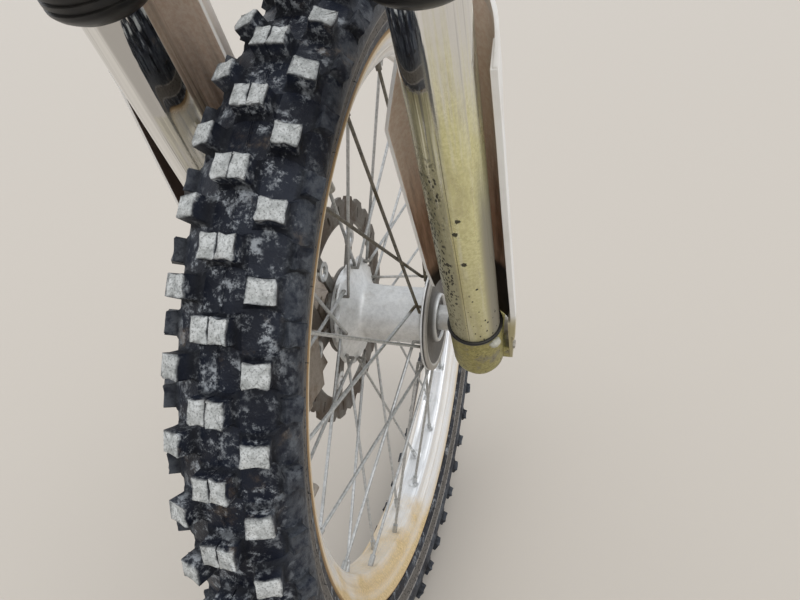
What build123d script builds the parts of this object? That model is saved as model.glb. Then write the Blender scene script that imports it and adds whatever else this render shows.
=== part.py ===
from build123d import *

import math
import os

# The front end of a motocross bike: a wire-spoked front wheel in an upside-down telescopic fork.
#
# The wheel runs on an axle held in a lug at the foot of each fork leg. Bright inner tubes rise from the
# lugs into wider outer tubes, and two clamps with a steering stem between them hold the outer tubes. A
# moulded guard stands in front of each inner tube, and a disc brake sits on the left.
#
# Every piece is drawn upright, in the fork's own frame: X to the rider's right, Y forwards, Z up along the
# legs, with the wheel's centre at the origin. The finished pieces are then leaned back by the rake, with
# the lower bearing seat of the steering stem at the origin of the part, so that the wheel stands on level
# ground. All lengths are in millimetres and all angles in degrees.

# Stance
RAKE = 27.0
TUBE_SPREAD = 94.0  # from the wheel's middle plane to a leg's axis
AXLE_LEAD = 34.0  # the axle lies this far in front of the legs
CLAMP_OFFSET = 24.0  # the legs lie this far in front of the steering axis
STEM_BACK = AXLE_LEAD + CLAMP_OFFSET

# Clearances
SEAT_GAP = 0.1  # between faces that seat on each other
RUNNING_GAP = 0.05  # between the axle and the bearings that turn on it
SEAL_GAP = 0.3  # between the wheel's side faces and the collars beside them
WHEEL_GAP = 5.5  # between the wheel and what stands still beside it
HOLE_GAP = 0.3  # round a spoke, nipple or stem in its hole

SIDES = {"left": -1, "right": 1}

# Rim
RIM_BEAD_RADIUS = 266.7
RIM_FLANGE_HEIGHT = 13.8
RIM_WELL_DEPTH = 10.7
RIM_HALF_WIDTH = 27.2
RIM_WALL = 3.6
RIM_WELL_HALF_WIDTH = 11.0
RIM_WELL_SLOPE = 4.0
RIM_RIDGE = 1.4  # how far the edges of the well stand proud of its middle
RIM_EDGE = 1.4  # bevel on the flange and on the foot of the side wall
RIM_FLANGE_RADIUS = RIM_BEAD_RADIUS + RIM_FLANGE_HEIGHT
RIM_WELL_RADIUS = RIM_BEAD_RADIUS - RIM_WELL_DEPTH

# Tyre
KNOB_HEIGHT = 12.0
CARCASS_HEIGHT = 52.5  # from the rim's edge to the crown between the knobs
CARCASS_HALF_WIDTH = 38.0
CROWN_RADIUS = RIM_FLANGE_RADIUS + CARCASS_HEIGHT
TYRE_RADIUS = CROWN_RADIUS + KNOB_HEIGHT
BEAD_STEP = 0.5  # how far the carcass starts above the rim's edge
# The carcass from the crown to the rim's edge, as shares of its half width and of its height
CARCASS_PROFILE = [(0.31, 1.0), (0.80, 0.86), (1.0, 0.62)]
KNOB_PITCHES = 50
KNOB_TURN = 6.3  # of the first middle knob, from the tyre's top
KNOB_ROOT = 2.0  # how far a knob's sides run down into the carcass
KNOB_DRAFT = 0.5
PAIR_END = 10.2  # the middle knobs' outer edge
PAIR_LENGTH = 14.5
PAIR_NOTCH = 0.8  # half the width of the notch that parts the two middle knobs
PAIR_NOTCH_DEPTH = 9.0
# The knobs beside the middle pair, on each side: place round the tyre in pitches, start and end across the
# tread measured along the carcass, length round the tyre, and height as a share of the middle knobs'
KNOB_ROWS = [
    (0.5, 13.5, 29.5, 14.0, 0.96),
    (0.0, 34.0, 45.0, 14.0, 0.42),
]

# Hub
HUB_RIGHT_FLANGE_RADIUS = 55.0
HUB_LEFT_FLANGE_RADIUS = 58.0
HUB_FLANGE_FACE = 40.5  # the wheel's side of each flange, from the middle plane
HUB_FLANGE_WIDTH = 5.0
HUB_FLANGE_GROOVE = 1.2  # round the right flange's edge, between its two ribs
HUB_FLANGE_BEVEL = 1.5
HUB_BARREL_RADIUS = 29.5
HUB_BARREL_WAIST = 0.5  # how far the barrel's middle lies below its ends
# The barrel's rise to each flange: place across, and share of the step from barrel to flange radius
HUB_LEFT_FLARE = [(28.0, 0.0), (33.0, 0.2), (37.0, 0.55), (40.5, 0.72)]
HUB_RIGHT_FLARE = [(34.0, 0.0), (35.0, 0.1), (38.5, 0.16), (40.5, 0.3)]
HUB_BORE_RADIUS = 16.0
HUB_NOSE = 6.5  # from the right flange's outer face to the hub's end
HUB_NOSE_RADIUS = 24.5
HUB_DISH_RADIUS = 42.0  # the right flange's outer face is flat outside this
HUB_DISH_DEPTH = 2.5
HUB_PETALS = 9  # between the scallops of the left flange's edge, each with two spokes
HUB_SCALLOP_RADIUS = 14.0
HUB_SCALLOP_DEPTH = 5.0
BEARING_RADIUS = 21.0
BEARING_WIDTH = 12.0
SEAL_WIDTH = 5.0

# Spokes and nipples
SPOKE_PAIRS = 18
SPOKE_RADIUS = 1.5
SPOKE_SWEEP = 33.0  # round the wheel from a spoke's hole in the flange to its hole in the rim
SPOKE_CIRCLE_INSET = 4.5  # from a flange's edge to its circle of spoke holes
SPOKE_RIM_X = 4.5
SPOKE_PHASE = 16.0
SPOKE_CROSSING = 5.0  # how far apart two spokes that cross stand, at the hub
SPOKE_HEAD_RADIUS = 2.4
SPOKE_HEAD_WIDTH = 1.2
NIPPLE_LENGTH = 13.0
NIPPLE_RADIUS = 2.7
NIPPLE_HEAD_RADIUS = 4.2
NIPPLE_HEAD_HEIGHT = 2.2
NIPPLE_LIFT = 1.6  # of the head above the rim's floor, on the nipple's own line

# Valve and rim lock, at their angles round the wheel from straight ahead towards the top
VALVE_ANGLE = 99.0
VALVE_RADIUS = 3.9
VALVE_LENGTH = 34.0
LOCK_ANGLE = 159.0
LOCK_RADIUS = 4.0
LOCK_LENGTH = 26.0
STEM_FLANGE_RADIUS = 8.0
STEM_FLANGE_HEIGHT = 2.0
STEM_NUT_SIZE = 7.0
STEM_NUT_THICKNESS = 5.0

# Brake disc
DISC_RADIUS = 120.0
DISC_TRACK = 26.0
DISC_THICKNESS = 3.5
DISC_X = -56.0
DISC_BOLT_CIRCLE = 38.0
DISC_RING = 17.0
DISC_ARMS = 6
DISC_ARM_WIDTH = 12.0
DISC_ARM_PHASE = 36.0
DISC_EYE_CIRCLE = 77.0
DISC_EYE_RADIUS = 10.0
DISC_EYE_HOLE = 5.5
DISC_TEETH = 24
DISC_TOOTH_PHASE = 12.0
DISC_NOTCH_DEPTH = 5.0
DISC_NOTCH_RADIUS = 8.5
DISC_SLOT_LENGTH = 11.0
DISC_SLOT_WIDTH = 3.6
DISC_SLOT_TURN = 12.0

# Axle
AXLE_RADIUS = 10.0
AXLE_BORE_RADIUS = 7.0
AXLE_HEAD_RADIUS = 16.0
AXLE_HEAD_WIDTH = 4.0
AXLE_NUT_WIDTH = 10.0
AXLE_NUT_RADIUS = 16.5
AXLE_THREAD_END = 3.0  # how far the axle stands out of its nut
COLLAR_RADIUS = 13.0

# Lugs
LUG_RADIUS = 24.2
LUG_TOP = 50.0
LUG_SOCKET_DEPTH = 14.0
LUG_LIP = 0.7  # bevel round the socket's mouth
LUG_DEPTH = 26.0
# The dome from its shoulder at the axle's height, as shares of the lug's radius and of its depth
LUG_DOME = [(1.0, 0.0), (0.96, 0.2), (0.83, 0.46), (0.62, 0.77), (0.3, 1.0)]
LUG_BOSS_RADIUS = 20.0
LUG_HALF_WIDTH = 22.0
LUG_WEB_TOP = 22.0
LUG_WEB_BOTTOM = -16.0
LUG_WEB_INSET = 4.0
PINCH_SLOT = 2.5
PINCH_EAR_LENGTH = 13.0
PINCH_EAR_HEIGHT = 24.0
PINCH_EAR_HALF_WIDTH = 19.0

# Legs
INNER_TUBE_RADIUS = 22.5
INNER_TUBE_TOP = 640.0
WIPER_BOTTOM = 366.0
WIPER_HEIGHT = 26.0
WIPER_RADIUS = 34.5
WIPER_LIP_RADIUS = 24.6
WIPER_LIP_HEIGHT = 1.5
OUTER_TUBE_TOP = 920.0
OUTER_TUBE_RADIUS = 28.0
OUTER_TUBE_FOOT_RADIUS = 31.5
OUTER_TUBE_FOOT_HEIGHT = 34.0
OUTER_TUBE_TAPER_HEIGHT = 120.0
OUTER_TUBE_BORE_RADIUS = 24.5
CAP_RIM_HEIGHT = 4.0
CAP_HEIGHT = 9.0
CAP_HEX_RADIUS = 19.0
CAP_KNOB_RADIUS = 6.5
CAP_KNOB_HEIGHT = 4.0
CAP_PLUG_DEPTH = 20.0

# Clamps and stem
LOWER_CLAMP_BOTTOM = 690.0
LOWER_CLAMP_HEIGHT = 42.0
CLAMP_GAP = 150.0  # between the two clamps
UPPER_CLAMP_HEIGHT = 28.0
CLAMP_WALL = 10.0
CLAMP_SLOT = 3.0
CLAMP_EAR_WIDTH = 30.0
CLAMP_EAR_REACH = 7.0
STEM_SEAT_Z = LOWER_CLAMP_BOTTOM + LOWER_CLAMP_HEIGHT
UPPER_CLAMP_BOTTOM = STEM_SEAT_Z + CLAMP_GAP
UPPER_CLAMP_TOP = UPPER_CLAMP_BOTTOM + UPPER_CLAMP_HEIGHT
STEM_FOOT_RADIUS = 16.0
STEM_RADIUS = 15.0
STEM_SEAT_LENGTH = 16.0
STEM_WAIST_RADIUS = 13.5
STEM_TOP_RADIUS = 12.5
STEM_TOP_LENGTH = 8.0
STEM_STEP = 3.0
STEM_BORE_RADIUS = 9.0
STEM_BORE_DEPTH = 70.0
STEM_BOSS_RADIUS = 31.0
UPPER_BOSS_RADIUS = 26.0
STEM_NUT_RADIUS = 18.0
STEM_NUT_FLANGE = 2.5
STEM_NUT_HEIGHT = 14.0
STEM_NUT_FLANGE_HEIGHT = 3.0
FENDER_BOLT_SQUARE = 40.0
FENDER_BOLT_FORWARD = 10.0
FENDER_BOLT_RADIUS = 3.0
FENDER_BOLT_DEPTH = 14.0

# Handlebar mounts
BAR_RADIUS = 11.1
BAR_MOUNT_SPREAD = 48.0
BAR_MOUNT_WIDTH = 30.0
BAR_MOUNT_SETBACK = 8.0
BAR_RISE = 44.0
BAR_MOUNT_LENGTH = 42.0
BAR_CAP_HEIGHT = 19.0
BAR_SLOT = 2.0
BAR_CORNER = 5.0

# Fork guards, by sections across the leg: height, reach from the leg's axis towards the wheel, reach away
# from the wheel, and reach in front. The left guard also shields the caliper, and swells outwards.
GUARD_SECTIONS = {
    "right": [
        (24.0, 33.0, 34.5, 40.0),
        (62.0, 36.0, 36.8, 40.5),
        (85.0, 38.5, 36.5, 41.0),
        (111.0, 42.0, 36.0, 42.0),
        (200.0, 44.0, 34.8, 43.0),
        (261.0, 47.0, 34.3, 43.0),
        (310.0, 36.0, 33.6, 43.0),
        (388.0, 30.0, 30.0, 43.0),
    ],
    "left": [
        (24.0, 33.0, 34.5, 40.0),
        (110.0, 40.0, 47.0, 43.0),
        (187.0, 46.0, 50.0, 45.0),
        (250.0, 50.0, 41.5, 46.0),
        (308.0, 51.0, 33.0, 46.0),
        (400.0, 50.0, 31.0, 46.0),
    ],
}
# Each guard's two edges in side view, from its top down: how far in front of the leg's axis, and height
GUARD_WHEEL_EDGE = {
    "right": [(44.0, 388.0), (36.0, 345.0), (24.0, 305.0), (12.0, 262.0), (12.0, 85.0)],
    "left": [(30.0, 400.0), (12.0, 375.0), (12.0, 264.0), (24.0, 184.0), (46.0, 114.0)],
}
GUARD_OUTER_EDGE = {
    "right": [(44.0, 388.0), (36.0, 352.0), (10.0, 330.0), (0.0, 316.0), (0.0, 24.0)],
    "left": [(38.0, 400.0), (30.0, 358.0), (10.0, 334.0), (0.0, 320.0), (0.0, 24.0)],
}
GUARD_WALL = 2.6
GUARD_TONGUE_BOTTOM = -8.0
GUARD_TONGUE_LAP = 30.0
GUARD_TONGUE_LENGTH = 15.0
GUARD_TONGUE_INSET = 2.4
GUARD_EAR_HEIGHT = 16.0
GUARD_FOOT, _, GUARD_FOOT_REACH, _ = GUARD_SECTIONS["right"][0]

# Brake caliper, drawn with the wheel's radius along Y and then turned to its place behind the left leg
CALIPER_ANGLE = 152.0
CALIPER_HALF_LENGTH = 42.0
CALIPER_INNER_RADIUS = 84.0
CALIPER_BRIDGE = 9.0
CALIPER_BODY_WIDTH = 31.0
CALIPER_FINGER = 5.0
CALIPER_FINGER_REACH = 30.0
CALIPER_FINGER_INSET = 12.0
CALIPER_BRIDGE_INSET = 8.0
CALIPER_CORNER = 9.0
PAD_THICKNESS = 4.8
PAD_GAP = 0.3
PAD_HEIGHT = 26.0
PAD_HALF_LENGTH = 27.0
PISTON_RADIUS = 16.5
PISTON_SPREAD = 20.0
PISTON_DOME = 6.0
HOSE_INLET_RADIUS = 6.0
HOSE_INLET_LENGTH = 10.0
BRACKET_THICKNESS = 8.0
BRACKET_STANDOFF = 4.0  # from the outer pad's back to the bracket
BRACKET_EAR_WIDTH = 12.0
# The bracket in side view: its front edge forward of the axle and above it, and its corners behind the disc
# as an angle from straight ahead towards the top and a distance in from the disc's edge
BRACKET_FRONT = [(-52.0, -26.0), (-52.0, 34.0)]
BRACKET_REAR = [(143.0, 22.0), (169.0, 19.0), (194.0, 44.5)]
# The left lug's plate in side view: forward of the leg's axis and above the axle
BRACKET_EAR_OUTLINE = [(-12.0, -30.0), (-38.0, -26.0), (-38.0, 33.0), (-18.0, 33.0)]
TUBE_CLEARANCE = 3.0


def leaned(shape):
    """A piece drawn in the fork's upright frame, leaned back to stand as it does on the bike."""
    return Rot(RAKE, 0, 0) * Pos(0, STEM_BACK, -STEM_SEAT_Z) * shape


def turned(points, sweep=360):
    """A ring about the axle's line from its section's corners, each an x and a radius."""
    return revolve(make_face(Polyline(*points, close=True)), Axis.X, sweep)


def both_halves(half):
    """The corners of a closed section from its right half, which runs inwards from the crown or edge."""
    return half + [(-x, r) for x, r in reversed(half)]


def turned_upright(points):
    """A ring about Z from its section's corners, each a radius and a height."""
    return revolve(make_face(Polyline(*[(r, 0, z) for r, z in points], close=True)), Axis.Z, 360)


def on_leg(side, shape):
    """Carries a shape drawn about Z to a leg's axis."""
    return Pos(side * TUBE_SPREAD, -AXLE_LEAD, 0) * shape


def on_stem(shape):
    """Carries a shape drawn about Z to the steering axis."""
    return Pos(0, -STEM_BACK, 0) * shape


def upright(radius, bottom, top):
    """A round bar about Z between two heights."""
    return Pos(0, 0, bottom) * Cylinder(radius, top - bottom, align=(Align.CENTER, Align.CENTER, Align.MIN))


def across(radius, x0, x1):
    """A round bar along X about the axle's line between two places."""
    return Pos((x0 + x1) / 2, 0, 0) * Rot(0, 90, 0) * Cylinder(radius, abs(x1 - x0))


def block(x0, x1, y0, y1, z0, z1):
    """A block between two places along each axis."""
    return Pos((x0 + x1) / 2, (y0 + y1) / 2, (z0 + z1) / 2) * Box(abs(x1 - x0), abs(y1 - y0), abs(z1 - z0))


def side_profile(points, x0, x1):
    """A solid between two places along X from the corners of its outline in side view."""
    return Pos(x0, 0, 0) * extrude(Plane.YZ * make_face(Polyline(*points, close=True)), x1 - x0)


def polar(radius, angle, x=0.0):
    """A point at an angle round the axle, counted from straight ahead towards the top."""
    a = math.radians(angle)
    return Vector(x, radius * math.cos(a), radius * math.sin(a))


def rod(start, end, radius, sides=0):
    """A round or many-sided bar between two points."""
    run = end - start
    section = RegularPolygon(radius, sides) if sides else Circle(radius)
    return extrude(Plane(origin=start, z_dir=run) * section, run.length)


def carcass_corners():
    """The carcass's outer corners from the crown to the rim, each an x and a radius."""
    return [
        (CARCASS_HALF_WIDTH * across_share, RIM_FLANGE_RADIUS + CARCASS_HEIGHT * up_share)
        for across_share, up_share in CARCASS_PROFILE
    ]


def round_the_axle(section, sides):
    """A many-sided ring about the axle's line, from its section's corners: each an x and a flat's radius."""
    stretch = 1.0 / math.cos(math.pi / sides)
    step = 360.0 / sides
    first = 90.0 + KNOB_TURN - step / 2
    facets = []
    for (x0, r0), (x1, r1) in zip(section, section[1:] + section[:1]):
        for index in range(sides):
            start = first + index * step
            corners = [
                polar(r0 * stretch, start, x0),
                polar(r1 * stretch, start, x1),
                polar(r1 * stretch, start + step, x1),
                polar(r0 * stretch, start + step, x0),
            ]
            facets.append(make_face(Polyline(*corners, close=True)))
    return Solid(Shell(facets))


def on_carcass(distance, height):
    """A point at a distance along the carcass from its middle, and at a height outwards from its skin."""
    x0, r0 = 0.0, CROWN_RADIUS
    for x1, r1 in carcass_corners():
        run = math.hypot(x1 - x0, r1 - r0)
        if distance <= run:
            break
        distance -= run
        x0, r0 = x1, r1
    along = ((x1 - x0) / run, (r1 - r0) / run)
    return (x0 + along[0] * distance - along[1] * height, r0 + along[1] * distance + along[0] * height)


def knob_block(corners, length):
    """A knob from its section's corners, each an x and a radius, in the middle of the tyre's top."""
    return extrude(Plane.XZ * make_face(Polyline(*corners, close=True)), length / 2, both=True)


def middle_pair():
    """Two knobs side by side, parted by a narrow notch."""
    half = [
        on_carcass(PAIR_END + KNOB_DRAFT, -KNOB_ROOT),
        on_carcass(PAIR_END, KNOB_HEIGHT),
        on_carcass(PAIR_NOTCH, KNOB_HEIGHT),
    ]
    notch = on_carcass(0.0, KNOB_HEIGHT - PAIR_NOTCH_DEPTH)
    return knob_block(half + [notch] + [(-x, r) for x, r in reversed(half)], PAIR_LENGTH)


def side_knob(side, start, end, length, height):
    """A knob beside the middle pair."""
    corners = [
        on_carcass(start - KNOB_DRAFT, -KNOB_ROOT),
        on_carcass(start, height),
        on_carcass(end, height),
        on_carcass(end + KNOB_DRAFT, -KNOB_ROOT),
    ]
    return knob_block([(side * x, r) for x, r in corners], length)


def tyre():
    """The tyre, solid inside, as the rim closes it: one flat round the carcass to each pitch of knobs."""
    bead_x = RIM_HALF_WIDTH - RIM_WALL - SEAT_GAP
    bead = [(bead_x, RIM_FLANGE_RADIUS + BEAD_STEP), (bead_x, RIM_BEAD_RADIUS + SEAT_GAP)]
    carcass = round_the_axle(both_halves(carcass_corners() + bead), KNOB_PITCHES)
    rows = [(0.0, middle_pair())]
    for shift, start, end, length, share in KNOB_ROWS:
        for side in SIDES.values():
            rows.append((shift, side_knob(side, start, end, length, KNOB_HEIGHT * share)))
    knobs = []
    for shift, first in rows:
        for pitch in range(KNOB_PITCHES):
            knobs.append(Rot(KNOB_TURN + (pitch + shift) * 360.0 / KNOB_PITCHES, 0, 0) * first)
    return carcass.fuse(*knobs)


def rim():
    edge = RIM_HALF_WIDTH
    inside = edge - RIM_WALL
    floor = RIM_BEAD_RADIUS - RIM_WALL - RIM_EDGE
    well = RIM_WELL_RADIUS - RIM_WALL
    half = [
        (RIM_WELL_HALF_WIDTH - RIM_WELL_SLOPE / 2, RIM_WELL_RADIUS),
        (RIM_WELL_HALF_WIDTH + RIM_WELL_SLOPE / 2, RIM_BEAD_RADIUS),
        (inside, RIM_BEAD_RADIUS),
        (inside, RIM_FLANGE_RADIUS - RIM_EDGE),
        (inside + RIM_EDGE, RIM_FLANGE_RADIUS),
        (edge - RIM_EDGE / 2, RIM_FLANGE_RADIUS),
        (edge, RIM_FLANGE_RADIUS - RIM_EDGE),
        (edge, floor + RIM_EDGE),
        (edge - RIM_EDGE, floor),
        (RIM_WELL_HALF_WIDTH + RIM_WELL_SLOPE, floor),
        (RIM_WELL_HALF_WIDTH + RIM_RIDGE / 2, well),
        (RIM_WELL_HALF_WIDTH - RIM_RIDGE, well),
        (RIM_WELL_HALF_WIDTH - 2 * RIM_RIDGE, well + RIM_RIDGE / 2),
    ]
    ring = turned(both_halves(half))
    holes = [
        rod(seat - run * NIPPLE_LENGTH, seat + run * NIPPLE_LENGTH, NIPPLE_RADIUS + HOLE_GAP)
        for _, _, seat, run in spoke_lines()
    ]
    outside = RIM_WELL_RADIUS + RIM_WALL
    for angle, radius in ((VALVE_ANGLE, VALVE_RADIUS), (LOCK_ANGLE, LOCK_RADIUS)):
        holes.append(rod(polar(well - RIM_WALL, angle), polar(outside, angle), radius + HOLE_GAP))
    return ring.cut(*holes)


def spoke_lines():
    """Each spoke's side, its bend on the wheel's side of the flange, its end in the rim and its direction."""
    lines = []
    step = 360.0 / SPOKE_PAIRS
    for pair in range(SPOKE_PAIRS):
        for side, flange in ((-1, HUB_LEFT_FLANGE_RADIUS), (1, HUB_RIGHT_FLANGE_RADIUS)):
            lead = 1 if pair % 2 else -1
            rim_angle = SPOKE_PHASE + step * (pair + (side + 1) / 4)
            hub_angle = rim_angle + lead * SPOKE_SWEEP
            bend_x = HUB_FLANGE_FACE - SPOKE_RADIUS - HOLE_GAP
            if lead != side:
                bend_x -= SPOKE_CROSSING
            bend = polar(flange - SPOKE_CIRCLE_INSET, hub_angle, side * bend_x)
            seat = polar(RIM_WELL_RADIUS, rim_angle, side * SPOKE_RIM_X)
            lines.append((side, bend, seat, (seat - bend).normalized()))
    return lines


def spokes(which):
    """One flange's spokes, each bent through its hole in the flange and headed on the far side."""
    bars = []
    far = HUB_FLANGE_FACE + HUB_FLANGE_WIDTH + SEAT_GAP
    for side, bend, seat, run in spoke_lines():
        if side != which:
            continue
        through = Vector(side * far, bend.Y, bend.Z)
        head_end = Vector(side * (far + SPOKE_HEAD_WIDTH), bend.Y, bend.Z)
        straight = rod(bend, seat - run * (NIPPLE_LENGTH + SEAT_GAP), SPOKE_RADIUS)
        elbow = Pos(*bend) * Sphere(SPOKE_RADIUS)
        shank = rod(bend, through, SPOKE_RADIUS)
        head = rod(through, head_end, SPOKE_HEAD_RADIUS)
        bars.append(straight + elbow + shank + head)
    return Compound(children=bars)


def nipples():
    pieces = []
    for _, _, seat, run in spoke_lines():
        lift = seat + run * NIPPLE_LIFT
        body = rod(seat - run * NIPPLE_LENGTH, lift, NIPPLE_RADIUS)
        head = rod(lift, lift + run * NIPPLE_HEAD_HEIGHT, NIPPLE_HEAD_RADIUS)
        pieces.append(body + head)
    return Compound(children=pieces)


def flare(table, flange):
    """The barrel's rise to a flange from a table of places across and shares of the rise."""
    return [(x, HUB_BARREL_RADIUS + (flange - HUB_BARREL_RADIUS) * share) for x, share in table]


def hub():
    inner = HUB_FLANGE_FACE
    outer = HUB_FLANGE_FACE + HUB_FLANGE_WIDTH
    middle = (inner + outer) / 2
    left = HUB_LEFT_FLANGE_RADIUS
    right = HUB_RIGHT_FLANGE_RADIUS
    disc_face = DISC_X + DISC_THICKNESS / 2 + SEAT_GAP
    disc_seat = DISC_BOLT_CIRCLE + DISC_RING / 2
    section = [(disc_face, BEARING_RADIUS), (disc_face, disc_seat), (-outer, disc_seat)]
    section += [(-outer, left - HUB_FLANGE_BEVEL), (-outer + HUB_FLANGE_BEVEL, left), (-inner, left)]
    section += [(-x, r) for x, r in reversed(flare(HUB_LEFT_FLARE, left))]
    section.append((0.0, HUB_BARREL_RADIUS - HUB_BARREL_WAIST))
    section += flare(HUB_RIGHT_FLARE, right)
    section += [
        (inner, right),
        (middle - HUB_FLANGE_GROOVE / 2, right),
        (middle, right - HUB_FLANGE_GROOVE),
        (middle + HUB_FLANGE_GROOVE / 2, right),
        (outer - HUB_FLANGE_BEVEL, right),
        (outer, right - HUB_FLANGE_BEVEL),
        (outer, HUB_DISH_RADIUS),
        (outer - HUB_DISH_DEPTH, HUB_NOSE_RADIUS + HUB_DISH_DEPTH),
        (outer - HUB_DISH_DEPTH, HUB_NOSE_RADIUS),
        (hub_end("right"), HUB_NOSE_RADIUS),
        (hub_end("right"), BEARING_RADIUS),
        (bearing_face("right"), BEARING_RADIUS),
        (bearing_face("right"), HUB_BORE_RADIUS),
        (-bearing_face("left"), HUB_BORE_RADIUS),
        (-bearing_face("left"), BEARING_RADIUS),
    ]
    cuts = []
    for side, bend, _, _ in spoke_lines():
        near = Vector(side * (inner - HUB_FLANGE_WIDTH), bend.Y, bend.Z)
        far = Vector(side * (outer + HUB_FLANGE_WIDTH), bend.Y, bend.Z)
        cuts.append(rod(near, far, SPOKE_RADIUS + HOLE_GAP))
    first_scallop = SPOKE_PHASE + 540.0 / SPOKE_PAIRS
    reach = left - HUB_SCALLOP_DEPTH + HUB_SCALLOP_RADIUS
    for index in range(HUB_PETALS):
        angle = first_scallop + index * 360.0 / HUB_PETALS
        near = polar(reach, angle, SEAT_GAP - inner)
        cuts.append(rod(near, polar(reach, angle, -outer - SEAT_GAP), HUB_SCALLOP_RADIUS))
    return turned(section).cut(*cuts)


def hub_end(name):
    """How far out the hub reaches on one side."""
    if name == "left":
        return -(DISC_X + DISC_THICKNESS / 2 + SEAT_GAP)
    return HUB_FLANGE_FACE + HUB_FLANGE_WIDTH + HUB_NOSE


def bearing_face(name):
    """Where one bearing's inner face lies, measured out from the middle."""
    return hub_end(name) - SEAL_WIDTH - BEARING_WIDTH


def wheel_bearings():
    rings = []
    for name, side in SIDES.items():
        near = side * (bearing_face(name) + SEAT_GAP)
        far = side * (bearing_face(name) + BEARING_WIDTH)
        ring = across(BEARING_RADIUS - SEAT_GAP, near, far)
        rings.append(ring - across(AXLE_RADIUS + RUNNING_GAP, near, far))
    return Compound(children=rings)


def wheel_seals():
    rings = []
    for name, side in SIDES.items():
        near = side * (bearing_face(name) + BEARING_WIDTH + SEAT_GAP)
        far = side * (hub_end(name) - SEAL_GAP)
        ring = across(BEARING_RADIUS - SEAT_GAP, near, far)
        rings.append(ring - across(COLLAR_RADIUS + SEAL_GAP, near, far))
    return Compound(children=rings)


def stem_through_rim(angle, radius, length):
    """A threaded stem through the rim, with its flange inside the tyre and its nut outside."""
    well = RIM_WELL_RADIUS - RIM_WALL + RIM_RIDGE / 2
    top = RIM_WELL_RADIUS + SEAT_GAP
    stem = rod(polar(well - length, angle), polar(top, angle), radius)
    flange = rod(polar(top, angle), polar(top + STEM_FLANGE_HEIGHT, angle), STEM_FLANGE_RADIUS)
    nut_top = well - HOLE_GAP
    nut = rod(polar(nut_top - STEM_NUT_THICKNESS, angle), polar(nut_top, angle), STEM_NUT_SIZE, 6)
    return stem + flange + nut


def valve_stem():
    return stem_through_rim(VALVE_ANGLE, VALVE_RADIUS, VALVE_LENGTH)


def rim_lock():
    return stem_through_rim(LOCK_ANGLE, LOCK_RADIUS, LOCK_LENGTH)


def brake_disc():
    """A toothed ring on arms with round eyes, a slot under each tooth."""
    inner = DISC_RADIUS - DISC_TRACK
    arm_end = inner + DISC_TRACK / 4
    notch_circle = DISC_RADIUS + DISC_NOTCH_RADIUS - DISC_NOTCH_DEPTH
    first_notch = DISC_TOOTH_PHASE + 180.0 / DISC_TEETH
    arms = PolarLocations(0, DISC_ARMS, start_angle=DISC_ARM_PHASE)
    eyes = PolarLocations(DISC_EYE_CIRCLE, DISC_ARMS, start_angle=DISC_ARM_PHASE)
    outline = Circle(DISC_RADIUS) - Circle(inner)
    outline -= PolarLocations(notch_circle, DISC_TEETH, start_angle=first_notch) * Circle(DISC_NOTCH_RADIUS)
    outline += Circle(DISC_BOLT_CIRCLE + DISC_RING / 2)
    outline += arms * (Pos(arm_end / 2, 0) * Rectangle(arm_end, DISC_ARM_WIDTH))
    outline += eyes * Circle(DISC_EYE_RADIUS)
    outline -= eyes * Circle(DISC_EYE_HOLE)
    outline -= Circle(DISC_BOLT_CIRCLE - DISC_RING / 2)
    slots = PolarLocations(DISC_RADIUS - DISC_TRACK / 2, DISC_TEETH, start_angle=DISC_TOOTH_PHASE)
    outline -= slots * (Rot(0, 0, DISC_SLOT_TURN) * SlotOverall(DISC_SLOT_LENGTH, DISC_SLOT_WIDTH))
    return Pos(DISC_X - DISC_THICKNESS / 2, 0, 0) * extrude(Plane.YZ * outline, DISC_THICKNESS)


def wheel_axle():
    lug_face = TUBE_SPREAD + LUG_HALF_WIDTH + SEAT_GAP
    left_end = -lug_face - AXLE_NUT_WIDTH - AXLE_THREAD_END
    right_end = lug_face + AXLE_HEAD_WIDTH
    axle = across(AXLE_RADIUS, left_end, right_end) + across(AXLE_HEAD_RADIUS, lug_face, right_end)
    return axle - across(AXLE_BORE_RADIUS, left_end, right_end)


def axle_nut():
    face = -TUBE_SPREAD - LUG_HALF_WIDTH - SEAT_GAP
    nut = rod(Vector(face, 0, 0), Vector(face - AXLE_NUT_WIDTH, 0, 0), AXLE_NUT_RADIUS, 6)
    return nut - across(AXLE_RADIUS + RUNNING_GAP, face, face - AXLE_NUT_WIDTH)


def axle_collar(name):
    side = SIDES[name]
    near = side * (bearing_face(name) + BEARING_WIDTH + SEAL_GAP)
    far = side * (TUBE_SPREAD - LUG_HALF_WIDTH - SEAT_GAP)
    return across(COLLAR_RADIUS, near, far) - across(AXLE_RADIUS + RUNNING_GAP, near, far)


def inner_tube(side):
    return on_leg(side, upright(INNER_TUBE_RADIUS, LUG_TOP - LUG_SOCKET_DEPTH, INNER_TUBE_TOP))


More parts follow.
